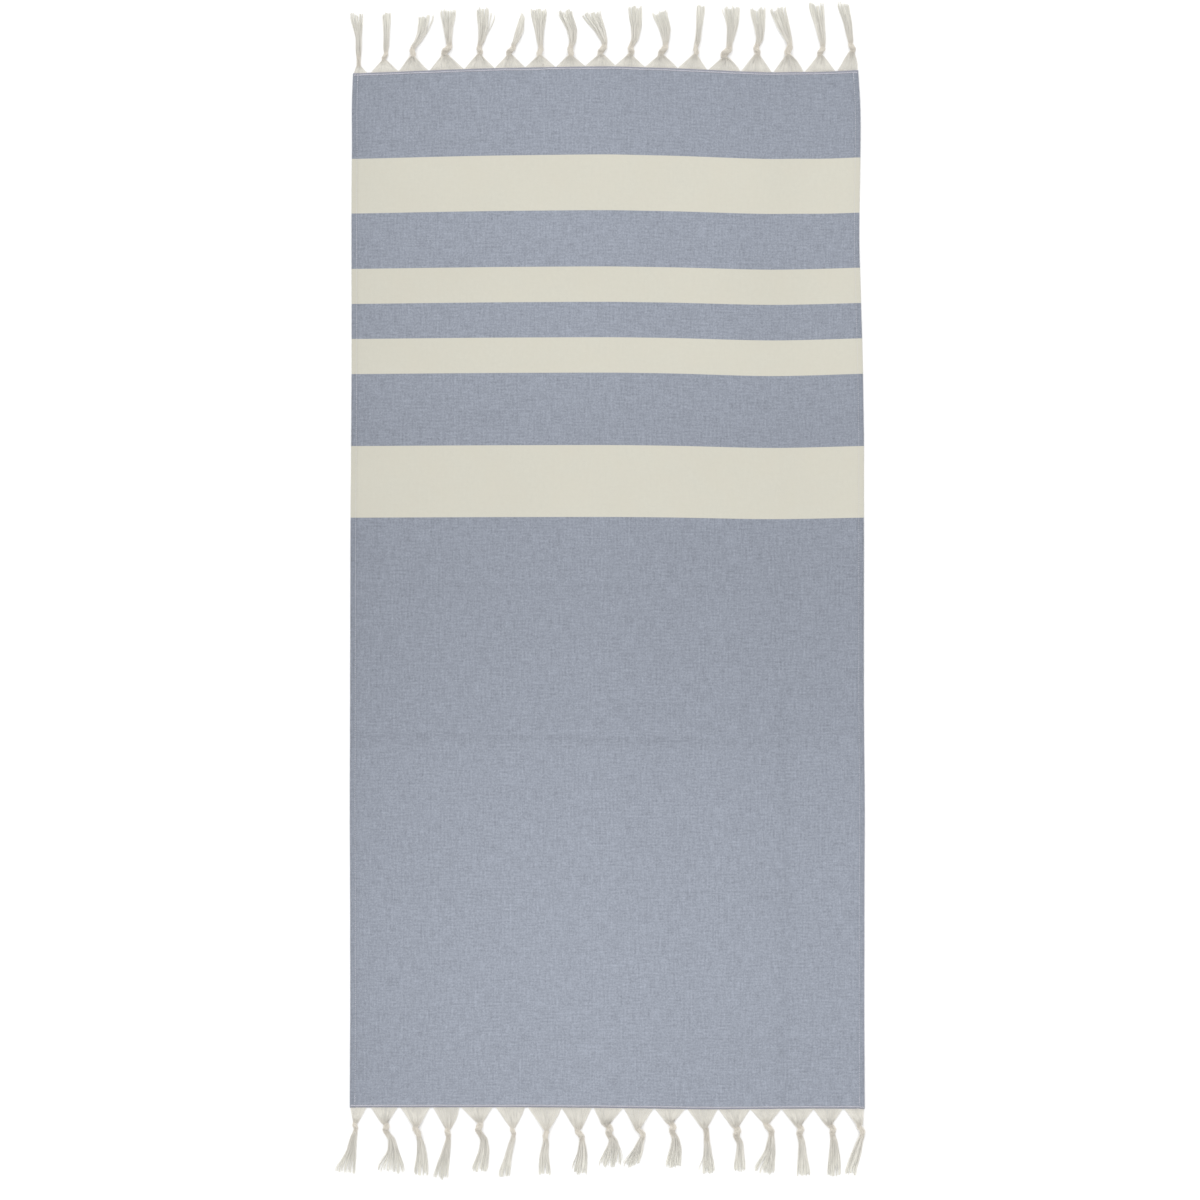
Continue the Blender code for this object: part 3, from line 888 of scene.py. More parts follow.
    def build(self) -> Piece:
        """Make the closed sheet, with its map of places across and down the cloth.

        Returns:
            The cloth.
        """
        across, from_head = np.meshgrid(self.columns(), self.rows())
        upper, under = self.surface(across, from_head)
        rows, columns = across.shape
        count = rows * columns
        index = np.arange(count).reshape(rows, columns)
        quads = np.stack([index[:-1, :-1], index[1:, :-1], index[1:, 1:], index[:-1, 1:]], axis=-1)
        quads = quads.reshape(-1, 4)
        sides = [index[0, :-1], index[:-1, -1], index[-1, :0:-1], index[:0:-1, 0]]
        ring = np.concatenate(sides)
        middle = (upper.reshape(-1, 3)[ring] + under.reshape(-1, 3)[ring]) / 2.0
        headings = np.array([(0.0, 1.0, 0.0), (1.0, 0.0, 0.0), (0.0, -1.0, 0.0), (-1.0, 0.0, 0.0)])
        middle += np.repeat(headings, [len(side) for side in sides], axis=0) * self.rim_swell
        rim = 2 * count + np.arange(len(ring))
        nxt = np.roll(ring, -1)
        rim_next = np.roll(rim, -1)
        upper_wall = np.stack([ring, nxt, rim_next, rim], axis=-1)
        under_wall = np.stack([rim, rim_next, nxt + count, ring + count], axis=-1)
        faces = np.vstack([quads, (quads + count)[:, ::-1], upper_wall, under_wall])
        points = np.vstack([upper.reshape(-1, 3), under.reshape(-1, 3), middle])
        places = np.stack([across, from_head], axis=-1).reshape(-1, 2)
        places = np.vstack([places, places, places[ring]])
        mesh = bpy.data.meshes.new("woven_cloth")
        mesh.from_pydata(points.tolist(), [], faces.tolist())
        corners = np.empty(len(mesh.loops), dtype=np.int32)
        mesh.loops.foreach_get("vertex_index", corners)
        mesh.uv_layers.new(name=WEAVE_MAP).data.foreach_set("uv", places[corners].ravel())
        mesh.shade_smooth()
        return placed("woven_cloth", mesh)

    def dress(self, cloth: Piece, effects: Effects) -> None:
        """Give the cloth its finish, and set it in place of its CAD node."""
        cloth.data.materials.append(self.finish.material(self, effects))
        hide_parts(self.node)
        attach(cloth, "root")

    @property
    def flat_size(self) -> tuple[float, float]:
        """Width and length as it was woven, before its sides were turned under."""
        return (2.0 * (self.half_width + self.hem_allowance), self.length)


# ---------------------------------------------------------------- yarn and thread


class YarnPaths:
    """Paths of yarns or threads, with what their finish reads, as one wire mesh."""

    carried = ("radius", "tint", "snug", "reach", "along")

    def __init__(self) -> None:
        """Start with no paths."""
        self.points: list[np.ndarray] = []
        self.values: dict[str, list[np.ndarray]] = {key: [] for key in self.carried}

    def add(self, line: np.ndarray, radius: np.ndarray | float, tint: float,
            snug: np.ndarray | float = 0.0, reach: np.ndarray | float = 0.0) -> None:
        """Add a path.

        Args:
            line: Its points, one in each row.
            radius: The yarn's radius at each point.
            tint: How light this yarn is, 0 to 1.
            snug: How tightly it is held at each point, 0 to 1.
            reach: How far each point is towards a cut tip, 0 to 1.
        """
        steps = np.linalg.norm(np.diff(line, axis=0), axis=1)
        along = np.concatenate([[0.0], np.cumsum(steps)])
        self.points.append(line)
        for key, value in zip(self.carried, (radius, tint, snug, reach, along)):
            self.values[key].append(np.broadcast_to(np.asarray(value, float), len(line)))

    def wire(self, name: str) -> Piece:
        """Make the paths one object of loose edges.

        Args:
            name: The object's name.

        Returns:
            The object.
        """
        lengths = [len(line) for line in self.points]
        firsts = np.cumsum([0, *lengths[:-1]])
        edges = np.vstack([np.stack([np.arange(first, first + length - 1),
                                     np.arange(first + 1, first + length)], axis=1)
                           for first, length in zip(firsts, lengths)])
        mesh = bpy.data.meshes.new(name)
        mesh.from_pydata(np.vstack(self.points).tolist(), edges.tolist(), [])
        for key, values in self.values.items():
            layer = mesh.attributes.new(f"yarn_{key}", "FLOAT", "POINT")
            layer.data.foreach_set("value", np.concatenate(values).astype(np.float32))
        return placed(name, mesh)


def run_tree(piece: Piece, tree: Tree, inputs: Mapping[str, object]) -> Piece:
    """Run a geometry node tree on a piece, and keep what it makes as the piece's plain mesh.

    Args:
        piece: The piece.
        tree: The tree.
        inputs: What the tree's inputs get, by name.

    Returns:
        The piece.
    """
    modifier = piece.modifiers.new(tree.name, "NODES")
    modifier.node_group = tree
    for item in tree.interface.items_tree:
        if item.item_type == "SOCKET" and item.in_out == "INPUT" and item.name in inputs:
            modifier[item.identifier] = inputs[item.name]
    graph = bpy.context.evaluated_depsgraph_get()
    made = bpy.data.meshes.new_from_object(piece.evaluated_get(graph), preserve_all_data_layers=True,
                                           depsgraph=graph)
    wire = piece.data
    piece.modifiers.clear()
    piece.data = made
    bpy.data.meshes.remove(wire)
    made.name = piece.name
    return piece


class YarnTrees:
    """The geometry node trees that turn paths into yarns, rows of stitches and zigzags."""

    def __init__(self) -> None:
        """Build each tree once."""
        self.yarns = self._yarns()
        self.lockstitch = self._lockstitch()
        self.zigzag = self._zigzag()

    @staticmethod
    def _start(name: str, sizes: Mapping[str, float]) -> tuple[Wiring, Mapping, Mapping, Socket]:
        """Start a tree, with the inputs that all three have and its paths made curves.

        Args:
            name: The tree's name.
            sizes: Its own sizes, as inputs by name.

        Returns:
            Its wiring, its inputs, its outputs and the output with the curves.
        """
        wiring, given, out = new_group(
            name, {"Paths": "Geometry", **sizes, "Sides": 4, "Finish": "Material"}, {"Yarns": "Geometry"},
            "GeometryNodeTree")
        return wiring, given, out, wiring.add("GeometryNodeMeshToCurve", {0: given["Paths"]}).outputs[0]

    @staticmethod
    def _spaced(wiring: Wiring, curve: object, step: object) -> Socket:
        """Set points on curves at even steps, and return the output with them."""
        return wiring.add("GeometryNodeResampleCurve", {"Curve": curve, "Length": step},
                          mode="LENGTH").outputs[0]

    @staticmethod
    def _tube(wiring: Wiring, curve: object, radius: object, sides: object) -> Socket:
        """Wrap a round tube round curves.

        Args:
            wiring: The tree's wiring.
            curve: The output with the curves.
            radius: The tube's radius.
            sides: How many sides it has.

        Returns:
            The output with the tubes, which know where they are read round the yarn.
        """
        ring = wiring.add("GeometryNodeCurvePrimitiveCircle", {"Resolution": sides, "Radius": 1.0})
        spot = wiring.add("GeometryNodeInputPosition").outputs[0]
        marked = wiring.add("GeometryNodeStoreNamedAttribute",
                            {"Geometry": ring.outputs[0], "Name": "yarn_round", "Value": spot},
                            data_type="FLOAT_VECTOR", domain="POINT")
        return wiring.add("GeometryNodeCurveToMesh", {"Curve": curve, "Profile Curve": marked.outputs[0],
                                                      "Scale": radius, "Fill Caps": True}).outputs[0]

    @staticmethod
    def _finish(wiring: Wiring, mesh: object, given: Mapping, out: Mapping) -> Tree:
        """End a tree: smooth, realised, and with its material."""
        smooth = wiring.add("GeometryNodeSetShadeSmooth", {0: mesh}).outputs[0]
        real = wiring.add("GeometryNodeRealizeInstances", {0: smooth}).outputs[0]
        dressed = wiring.add("GeometryNodeSetMaterial", {"Geometry": real, "Material": given["Finish"]})
        wiring.feed(out, {"Yarns": dressed.outputs[0]})
        return wiring.tree

    def _yarns(self) -> Tree:
        """Build the tree that gives each path its yarn, of the radius that the path carries."""
        wiring, given, out, curve = self._start("Spun yarns", {"Thickness": 1.0})
        carried = wiring.add("GeometryNodeInputNamedAttribute", {"Name": "yarn_radius"}, data_type="FLOAT")
        radius = wiring.maths("MULTIPLY", carried.outputs[0], given["Thickness"])
        return self._finish(wiring, self._tube(wiring, curve, radius, given["Sides"]), given, out)

    def _lockstitch(self) -> Tree:
        """Build the tree that lays one short arched stitch after another along each path."""
        wiring, given, out, curve = self._start(
            "Lockstitch row", {"Stitch spacing": 3.4 * MM, "Stitch length": 3.1 * MM,
                               "Thread radius": 0.2 * MM, "Arch": 0.45 * MM})
        half = wiring.maths("MULTIPLY", given["Stitch length"], 0.5)
        dip = wiring.maths("MULTIPLY", given["Thread radius"], -1.2)
        ends = [wiring.add("ShaderNodeCombineXYZ", {0: wiring.maths("MULTIPLY", half, side), 2: dip}).outputs[0]
                for side in (-1.0, 1.0)]
        top = wiring.add("ShaderNodeCombineXYZ", {2: given["Arch"]}).outputs[0]
        arch = wiring.add("GeometryNodeCurveQuadraticBezier",
                          {"Resolution": 3, "Start": ends[0], "Middle": top, "End": ends[1]}).outputs[0]
        stitch = self._tube(wiring, arch, given["Thread radius"], given["Sides"])
        spots = self._spaced(wiring, curve, given["Stitch spacing"])
        heading = wiring.add("FunctionNodeAlignRotationToVector",
                             {"Vector": wiring.add("GeometryNodeInputTangent").outputs[0]}, axis="X").outputs[0]
        rows = wiring.add("GeometryNodeInstanceOnPoints",
                          {"Points": spots, "Instance": stitch, "Rotation": heading}).outputs[0]
        return self._finish(wiring, rows, given, out)

    def _zigzag(self) -> Tree:
        """Build the tree that swings a thread from side to side of each path."""
        wiring, given, out, curve = self._start(
            "Zigzag row", {"Stitch spacing": 1.3 * MM, "Swing": 1.6 * MM,
                           "Thread radius": 0.22 * MM, "Arch": 0.3 * MM})
        spots = self._spaced(wiring, curve, wiring.maths("MULTIPLY", given["Stitch spacing"], 0.25))
        turn = wiring.maths("MULTIPLY", wiring.add("GeometryNodeInputIndex").outputs[0], math.pi / 2)
        sideways = wiring.add("ShaderNodeVectorMath",
                              {0: wiring.add("GeometryNodeInputTangent").outputs[0], 1: (0.0, 0.0, 1.0)},
                              operation="CROSS_PRODUCT").outputs[0]
        swing = wiring.dimmed(sideways, wiring.maths("MULTIPLY", wiring.maths("COSINE", turn), given["Swing"]))
        rise = wiring.maths("MULTIPLY", wiring.maths("ABSOLUTE", wiring.maths("SINE", turn)), given["Arch"])
        lift = wiring.add("ShaderNodeCombineXYZ", {2: rise}).outputs[0]
        offset = wiring.add("ShaderNodeVectorMath", {0: swing, 1: lift}, operation="ADD").outputs[0]
        swung = wiring.add("GeometryNodeSetPosition", {"Geometry": spots, "Offset": offset}).outputs[0]
        thread = self._tube(wiring, swung, given["Thread radius"], given["Sides"])
        return self._finish(wiring, thread, given, out)


# ---------------------------------------------------------------- the stitched edges


@dataclass
class HemSeam:
    """A lockstitched seam down one long side, seen on both faces, with its back-tacked ends."""

    name: str
    side: float
    seed: int
    spacing: float = 3.4 * MM
    stitch: float = 3.1 * MM
    radius: float = 0.27 * MM
    from_end: float = 5.0 * MM
    guide_step: float = 6.0 * MM
    wander: float = 0.12 * MM
    under_drop: float = 0.02 * MM
    tack_length: float = 15.0 * MM
    tack_inset: float = 2.0 * MM
    tack_aside: tuple[float, float] = (0.42 * MM, -0.4 * MM)

    def build(self, cloth: ClothPanel, trees: YarnTrees, finish: bpy.types.Material) -> Piece:
        """Sew the seam.

        Args:
            cloth: The cloth that it is sewn in.
            trees: The yarn trees.
            finish: The thread's material.

        Returns:
            The seam.
        """
        draw = np.random.default_rng(self.seed)
        paths = YarnPaths()
        start, end = self.from_end, cloth.length - self.from_end
        runs = [(start, end, 0.0)]
        for low, high in ((start, start + self.tack_length), (end - self.tack_length, end)):
            runs += [(low, high, self.tack_aside[0]),
                     (low + self.tack_inset, high - self.tack_inset, self.tack_aside[1])]
        for low, high, aside in runs:
            down = np.arange(low, high, self.guide_step)
            wander = self.wander * smoothed(draw.normal(size=len(down)), 3)
            across = self.side * (cloth.half_width - cloth.seam_inset + aside + wander)
            upper, under = cloth.surface(across, down)
            paths.add(upper, self.radius, float(draw.random()))
            if aside == 0.0:
                paths.add(under - (0.0, 0.0, self.under_drop), self.radius, float(draw.random()))
        return run_tree(paths.wire(self.name), trees.lockstitch, {
            "Stitch spacing": self.spacing, "Stitch length": self.stitch, "Thread radius": self.radius,
            "Finish": finish})


@dataclass
class EndSeam:
    """A close zigzag across one short end, which keeps the weft in."""

    name: str
    outward: float
    seed: int
    inset: float = 3.5 * MM
    from_side: float = 1.5 * MM
    spacing: float = 1.15 * MM
    swing: float = 1.4 * MM
    arch: float = 0.2 * MM
    radius: float = 0.26 * MM
    wander: float = 0.35 * MM
    guide_points: int = 181
    upper_rise: float = 0.13 * MM
    under_drop: float = 0.03 * MM
    tint: float = 0.6

    def build(self, cloth: ClothPanel, trees: YarnTrees, finish: bpy.types.Material) -> Piece:
        """Sew the zigzag.

        Args:
            cloth: The cloth that it is sewn in.
            trees: The yarn trees.
            finish: The thread's material.

        Returns:
            The seam.
        """
        draw = np.random.default_rng(self.seed)
        paths = YarnPaths()
        reach = cloth.half_width - self.from_side
        across = np.linspace(-reach, reach, self.guide_points)
        inset = self.inset + self.wander * smoothed(draw.normal(size=len(across)), 4)
        down = inset if self.outward > 0 else cloth.length - inset
        upper, under = cloth.surface(across, down)
        paths.add(upper + (0.0, 0.0, self.upper_rise), self.radius, self.tint)
        paths.add(under - (0.0, 0.0, self.under_drop), self.radius, self.tint)
        return run_tree(paths.wire(self.name), trees.zigzag, {
            "Stitch spacing": self.spacing, "Swing": self.swing, "Thread radius": self.radius,
            "Arch": self.arch, "Finish": finish})


# ---------------------------------------------------------------- the tassels


class Knot(Enum):
    """How a tassel's knot lies: which way its band slants, which face is up, and if it is a mere twist."""

    RISING = (1.0, False, False)
    FALLING = (-1.0, False, False)
    RISING_BACK = (1.0, True, False)
    FALLING_BACK = (-1.0, True, False)
    TWIST = (1.0, False, True)

    @property
    def hand(self) -> float:
        """1 where the band rises to the right as the tassel points away, -1 to the left."""
        return self.value[0]

    @property
    def back_up(self) -> bool:
        """True where the knot lies on its band."""
        return self.value[1]

    @property
    def plain(self) -> bool:
        """True where the bundle is only twisted, with no band round it."""
        return self.value[2]


class TipCut(Enum):
    """How the yarns of a tail end, across its width."""

    FLAT = "flat"
    POINTED = "pointed"
    NOTCHED = "notched"
    LEFT_LONG = "left long"
    RIGHT_LONG = "right long"
    RAGGED = "ragged"
    THREE_POINTS = "three points"

    def shortfall(self, place: np.ndarray, noise: np.ndarray) -> np.ndarray:
        """Say how far short of the tip each yarn ends.

        Args:
            place: Each yarn's place across the tail, -1 left to 1 right.
            noise: A random share for each yarn, 0 to 1.

        Returns:
            The shortfall, in metres.
        """
        uneven = 2.2 * noise
        steps = {
            TipCut.FLAT: 0.6 * place**2 + uneven,
            TipCut.POINTED: 9.0 * np.abs(place) ** 1.2 + uneven,
            TipCut.NOTCHED: 3.5 * (1.0 - np.abs(place)) ** 0.8 + uneven,
            TipCut.LEFT_LONG: 3.6 * (1.0 + place) + uneven,
            TipCut.RIGHT_LONG: 3.6 * (1.0 - place) + uneven,
            TipCut.RAGGED: 5.5 * noise + 1.0 * place**2,
            TipCut.THREE_POINTS: 2.4 * (1.0 - np.cos(place * 3.0 * math.pi)) + uneven,
        }
        return steps[self] * MM


@dataclass(frozen=True)
class Lock:
    """A lock of yarns that leaves the rest of a tail.

    It lies between low and high across the tail, -1 left to 1 right. It swings aside by shift and is longer
    by extra, both in millimetres, and it leaves the rest at that share of the tail's length.
    """

    low: float
    high: float
    shift: float
    extra: float = 0.0
    leaves: float = 0.35


@dataclass(frozen=True)
class TasselLook:
    """What sets one tassel apart from the next.

    The knot is tilted in degrees. How far the skirt bows out, is gathered aside and starts further out at
    each side is in millimetres.
    """

    knot: Knot
    tilt: float = 0.0
    cut: TipCut = TipCut.FLAT
    locks: tuple[Lock, ...] = ()
    left_bow: float = 0.0
    right_bow: float = 0.0
    fray: float = 1.0
    gather: float = 0.0
    left_out: float = 0.0
    right_out: float = 0.0


OVERHAND_HALF = np.array([
    (-0.07, -0.62, 0.115), (-0.12, -0.46, 0.20), (-0.12, -0.16, 0.160), (-0.08, 0.24, 0.150),
    (0.05, 0.47, 0.145), (0.20, 0.47, 0.170), (0.245, 0.22, 0.310), (0.10, 0.05, 0.385)])
OVERHAND = np.vstack([OVERHAND_HALF, OVERHAND_HALF[::-1] * (-1.0, -1.0, 1.0)])
TWISTED = np.array([(0.0, 0.55 * step, 0.19) for step in range(-1, 3)])
SKIRT_SHARE = np.array([0.0, 0.08, 0.36, 0.68, 1.0])
SKIRT_SLACK = np.array([0.2, 1.0, 1.0, 0.8])
SKIRT_GIRTH = np.array([0.6, 0.85, 1.0, 1.0, 0.92])


@dataclass
class Tassel:
    """A bundle of the cloth's own warp yarns: a skirt drawn together into a knot, then a frayed tail."""

    node: str
    outward: float
    look: TasselLook
    seed: int
    yarn_radius: float = 0.30 * MM
    yarns_to_metre: float = 1750.0
    fewest_yarns: int = 56
    most_yarns: int = 96
    yarn_sides: int = 4
    root_inset: float = 1.3 * MM
    root_spread: float = 2.9 * MM
    corner_gap: float = 0.9 * MM
    slimmest_knot: float = 9.0 * MM
    widest_knot: float = 15.0 * MM
    bundle_to_knot: float = 0.29
    bundle_height_to_knot: float = 0.15
    gather_to_knot: float = 0.47
    gather_before_knot: float = 0.16
    bundle_lift_to_knot: float = 0.03
    waist_to_knot: float = 0.95
    waist_share: float = 0.45
    gather_share: float = 0.9
    plain_twist: float = 2.2
    plain_girth: tuple[float, ...] = (1.5, 1.45, 1.4, 1.45, 1.5)
    band_twist: float = 1.0
    band_girth: tuple[float, ...] = (1.25, 0.95, 0.85, 0.95, 1.2)
    girth_places: tuple[float, ...] = (0.0, 0.15, 0.5, 0.85, 1.0)
    ring_spacing: float = 0.58 * MM
    ring_start: float = 0.1
    inner_away: tuple[float, float] = (0.05, 0.55)
    inner_rise_to_knot: float = 0.04
    root_wander: float = 0.12 * MM
    skirt_wander: float = 0.18 * MM
    skirt_rise_power: float = 2.4
    blunt_end: float = 7.0 * MM
    straight_from_root: float = 7.0 * MM
    straight_to_knot: float = 9.0 * MM
    tip_extra: float = 4.2 * MM
    clump_chance: float = 0.15
    clump_short: float = 2.6 * MM
    clump_short_frayed: float = 4.6 * MM
    clump_draw: float = 0.50
    stray_chance: float = 0.05
    stray_swing: float = 2.6 * MM
    swing: float = 0.4 * MM
    waviness: float = 0.35 * MM
    wave_turns: tuple[float, float] = (5.0, 12.0)
    settles: tuple[float, float] = (-0.05, 0.21)
    opens: tuple[float, float] = (-0.08, 0.20)
    clumps_from: float = 0.60
    fan_power: float = 0.88
    cut_count: int = 90
    first_cut: float = 1.5 * MM
    last_cut: float = 0.2 * MM
    knot_top_share: float = 0.96
    smoothing: int = 6
    half_extra: float = 0.5 * MM
    knot_points: int = 23
    twist_points: int = 9
    inner_points: int = 5
    tail_points: int = 12

    def __post_init__(self) -> None:
        """Read the skirt, knot and tail off the CAD node."""
        shape = NodeShape.of(self.node)
        low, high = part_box(self.node)
        root_y, tip_y = (low.y, high.y) if self.outward > 0 else (high.y, low.y)
        self.root_y = root_y
        self.reach = abs(tip_y - root_y)
        self.out = np.linspace(self.first_cut, self.reach - self.last_cut, self.cut_count)
        cuts = np.array([shape.cut(1, root_y + self.outward * out) for out in self.out])
        left, right = cuts[:, 0, 0], cuts[:, 1, 0]
        self.centre, self.half, self.height = (left + right) / 2.0, (right - left) / 2.0, cuts[:, 1, 2]
        tall = self.height > self.knot_top_share * self.height.max()
        self.knot_out = float(self.out[tall].mean())
        self.knot_x = float(self.centre[tall].mean())
        self.knot_width = float(np.clip(2.0 * self.half[tall].max(), self.slimmest_knot, self.widest_knot))
        blunt = self.out > self.reach - self.blunt_end
        self.half[blunt] = self.half[~blunt][-1]
        self.centre = smoothed(self.centre, self.smoothing)
        self.half = smoothed(self.half, self.smoothing) + self.half_extra
        straight = (self.out > self.straight_from_root) & (self.out < self.knot_out - self.straight_to_knot)
        self.left_root, self.right_root = (
            float(np.polyval(np.polyfit(self.out[straight], side[straight], 1), 0.0)) + away * MM
            for side, away in ((left, -self.look.left_out), (right, self.look.right_out)))
        self.draw = np.random.default_rng(self.seed)

    def bundle_line(self) -> np.ndarray:
        """Trace the middle of the bundle through the knot, as (x, outward, z)."""
        look, width = self.look, self.knot_width
        if look.knot.plain:
            line = flowing_line(TWISTED, self.twist_points)
        else:
            line = flowing_line(OVERHAND, self.knot_points)
            line[:, 0] *= look.knot.hand
            if look.knot.back_up:
                line[:, 2] = line[:, 2].max() + line[:, 2].min() - line[:, 2]
        reach = float(line[-1, 1])
        turn = math.radians(look.tilt)
        ends = np.clip(np.abs(line[:, 1]) / reach, 0.0, 1.0)[:, None] ** 3 * 0.5
        turned = np.stack([line[:, 0] * math.cos(turn) + line[:, 1] * math.sin(turn),
                           line[:, 1] * math.cos(turn) - line[:, 0] * math.sin(turn)], axis=1)
        share = np.clip(0.5 + line[:, 1] / (2.0 * reach), 0.0, 1.0)
        line[:, :2] = turned * (1.0 - ends) + line[:, :2] * ends
        line = line * width + np.array([self.knot_x, self.knot_out, self.bundle_lift_to_knot * width])
        waist_x = float(np.interp(self.knot_out + self.waist_to_knot * width, self.out, self.centre))
        line[:, 0] += (self.gather_share * look.gather * MM * (1.0 - share) ** 3
                       + self.waist_share * (waist_x - self.knot_x) * share**2)
        return line

    @staticmethod
    def frames(line: np.ndarray) -> tuple[np.ndarray, np.ndarray]:
        """Find the level sideways direction at each point of a line, and the direction square to both.

        Args:
            line: The line's points.

        Returns:
            The sideways and the upward direction at each point.
        """
        forward = np.gradient(line, axis=0)
        forward /= np.linalg.norm(forward, axis=1)[:, None]
        sideways = np.cross(forward, np.array([0.0, 0.0, 1.0]))
        sideways /= np.linalg.norm(sideways, axis=1)[:, None]
        return sideways, np.cross(sideways, forward)

    def knot(self, line: np.ndarray, angle: np.ndarray, away: np.ndarray, wide: float,
             high: float) -> np.ndarray:
        """Lay the yarns through the knot, side by side round the bundle's line.

        Args:
            line: The middle of the bundle.
            angle: Where each yarn is round it.
            away: How far each is from its middle, 0 to 1.
            wide: The bundle's half-width.
            high: Its half-height.

        Returns:
            Each yarn's points, as (x, outward, z).
        """
        twist, girths = ((self.plain_twist, self.plain_girth) if self.look.knot.plain
                         else (self.band_twist, self.band_girth))
        sideways, ups = self.frames(line)
        through = np.linspace(0.0, 1.0, len(line))
        girth = np.interp(through, self.girth_places, girths)
        turned = angle[:, None] + (twist * through * self.look.knot.hand)[None, :]
        return line[None, :, :] + (wide * (away[:, None] * girth * np.cos(turned))[..., None] * sideways
                                   + high * (away[:, None] * np.sin(turned))[..., None] * ups)

    def skirt(self, cloth: ClothPanel, root_share: np.ndarray, entry: np.ndarray, entry_x: float,
              entry_out: float) -> np.ndarray:
        """Lay the yarns from the cloth's edge to where the knot gathers them.

        Args:
            cloth: The cloth that the yarns grow from.
            root_share: Each yarn's place along the edge, -1 left to 1 right.
            entry: Where each yarn enters the knot.
            entry_x: The middle of the place where they are gathered.
            entry_out: How far out that is.

        Returns:
            Each yarn's points, as (x, outward, z).
        """
        draw, count = self.draw, len(root_share)
        share = SKIRT_SHARE
        middle = (self.left_root + self.right_root) / 2.0
        half = (self.right_root - self.left_root) / 2.0 + self.root_spread
        root_x = middle + root_share * half + draw.normal(size=count) * self.root_wander
        corner = -1 if self.outward > 0 else 0
        root_x = np.clip(root_x, cloth.left_x[corner] + self.corner_gap,
                         cloth.right_x[corner] - self.corner_gap)
        edge_out = (cloth.edge(root_x, self.outward) - self.root_y) * self.outward
        down = self.root_inset if self.outward > 0 else cloth.length - self.root_inset
        upper, under = cloth.surface(root_x, np.full(count, down))
        root_z = (upper[:, 2] + under[:, 2]) / 2.0 + draw.uniform(-0.08, 0.08, count) * MM
        root = np.stack([root_x, edge_out - self.root_inset, root_z], axis=1)
        gather = np.stack([entry_x + root_share * self.gather_to_knot * self.knot_width,
                           np.full(count, entry_out), entry[:, 2]], axis=1)
        skirt = root[:, None, :] + share[None, :, None] * (gather - root)[:, None, :]
        skirt[:, :, 2] = root[:, 2:3] + (gather - root)[:, 2:3] * share[None, :] ** self.skirt_rise_power
        bow = np.where(root_share < 0, -self.look.left_bow, self.look.right_bow) * np.abs(root_share)
        skirt[:, :, 0] += bow[:, None] * MM * np.sin(math.pi * share)[None, :]
        skirt[:, 1:, 0] += draw.normal(size=(count, len(SKIRT_SLACK))) * self.skirt_wander * SKIRT_SLACK
        return skirt

    def tail(self, line_end: np.ndarray, exits: np.ndarray, reach: np.ndarray) -> np.ndarray:
        """Lay the yarns from the knot to their cut tips.

        Args:
            line_end: The middle of the bundle where it leaves the knot.
            exits: Where each yarn leaves the knot.
            reach: The places along the tail to give, 0 at the knot to 1 at the tip.

        Returns:
            Each yarn's points, as (x, outward, z).
        """
        draw, look, count = self.draw, self.look, len(exits)
        exit_off = exits - line_end
        rank = np.argsort(np.argsort(exit_off[:, 0] + draw.normal(size=count) * 0.25 * MM))
        place = (rank + 0.5) / count * 2.0 - 1.0
        layer = draw.uniform(0.0, 1.0, count)
        noise = draw.uniform(0.0, 1.0, count) ** 1.5
        clump = np.cumsum(draw.random(count) < self.clump_chance)[rank]
        clump_place = np.bincount(clump, place)[clump] / np.bincount(clump)[clump]
        clump_short = draw.uniform(0.0, 1.0, clump.max() + 1)[clump] ** 1.3
        end_out = (self.reach + self.tip_extra - look.cut.shortfall(place, noise)
                   - (self.clump_short + self.clump_short_frayed * look.fray) * clump_short)
        shift = np.zeros(count)
        leaves = np.full(count, Lock.leaves)
        for lock in look.locks:
            inside = (place >= lock.low) & (place <= lock.high)
            shift[inside] += lock.shift * MM
            end_out[inside] += lock.extra * MM
            leaves[inside] = lock.leaves
        strays = draw.random(count) < self.stray_chance
        shift += look.fray * np.where(strays, draw.normal(size=count) * self.stray_swing,
                                      draw.normal(size=count) * self.swing)
        out = exits[:, 1:2] + reach[None, :] * (end_out - exits[:, 1])[:, None]
        centre = np.interp(out, self.out, self.centre)
        half = np.interp(out, self.out, self.half) - self.yarn_radius
        height = np.interp(out, self.out, self.height)
        settle = eased(reach, *self.settles)[None, :]
        opened = eased(reach, *self.opens)[None, :]
        middle = line_end[0] * (1 - settle) + centre * settle
        drawn = self.clump_draw * eased(reach, self.clumps_from, 1.0)[None, :]
        fanned = place[:, None] * (1.0 - drawn) + clump_place[:, None] * drawn
        fanned = np.sign(fanned) * np.abs(fanned) ** self.fan_power
        spread = exit_off[:, 0:1] * (1 - opened) + fanned * half * opened
        pull = eased((reach[None, :] - leaves[:, None]) / (1.0 - leaves[:, None]), 0.0, 1.0)
        turns, phases = draw.uniform(*self.wave_turns, count), draw.uniform(0.0, 6.3, count)
        waves = self.waviness * look.fray * reach[None, :] * np.sin(
            reach[None, :] * turns[:, None] + phases[:, None])
        rest_z = self.yarn_radius + layer[:, None] * np.clip(height - 2.0 * self.yarn_radius, 0.0, None)
        z = exits[:, 2:3] * (1 - opened) + rest_z * opened
        return np.stack([middle + spread + waves + shift[:, None] * pull, out, z], axis=-1)

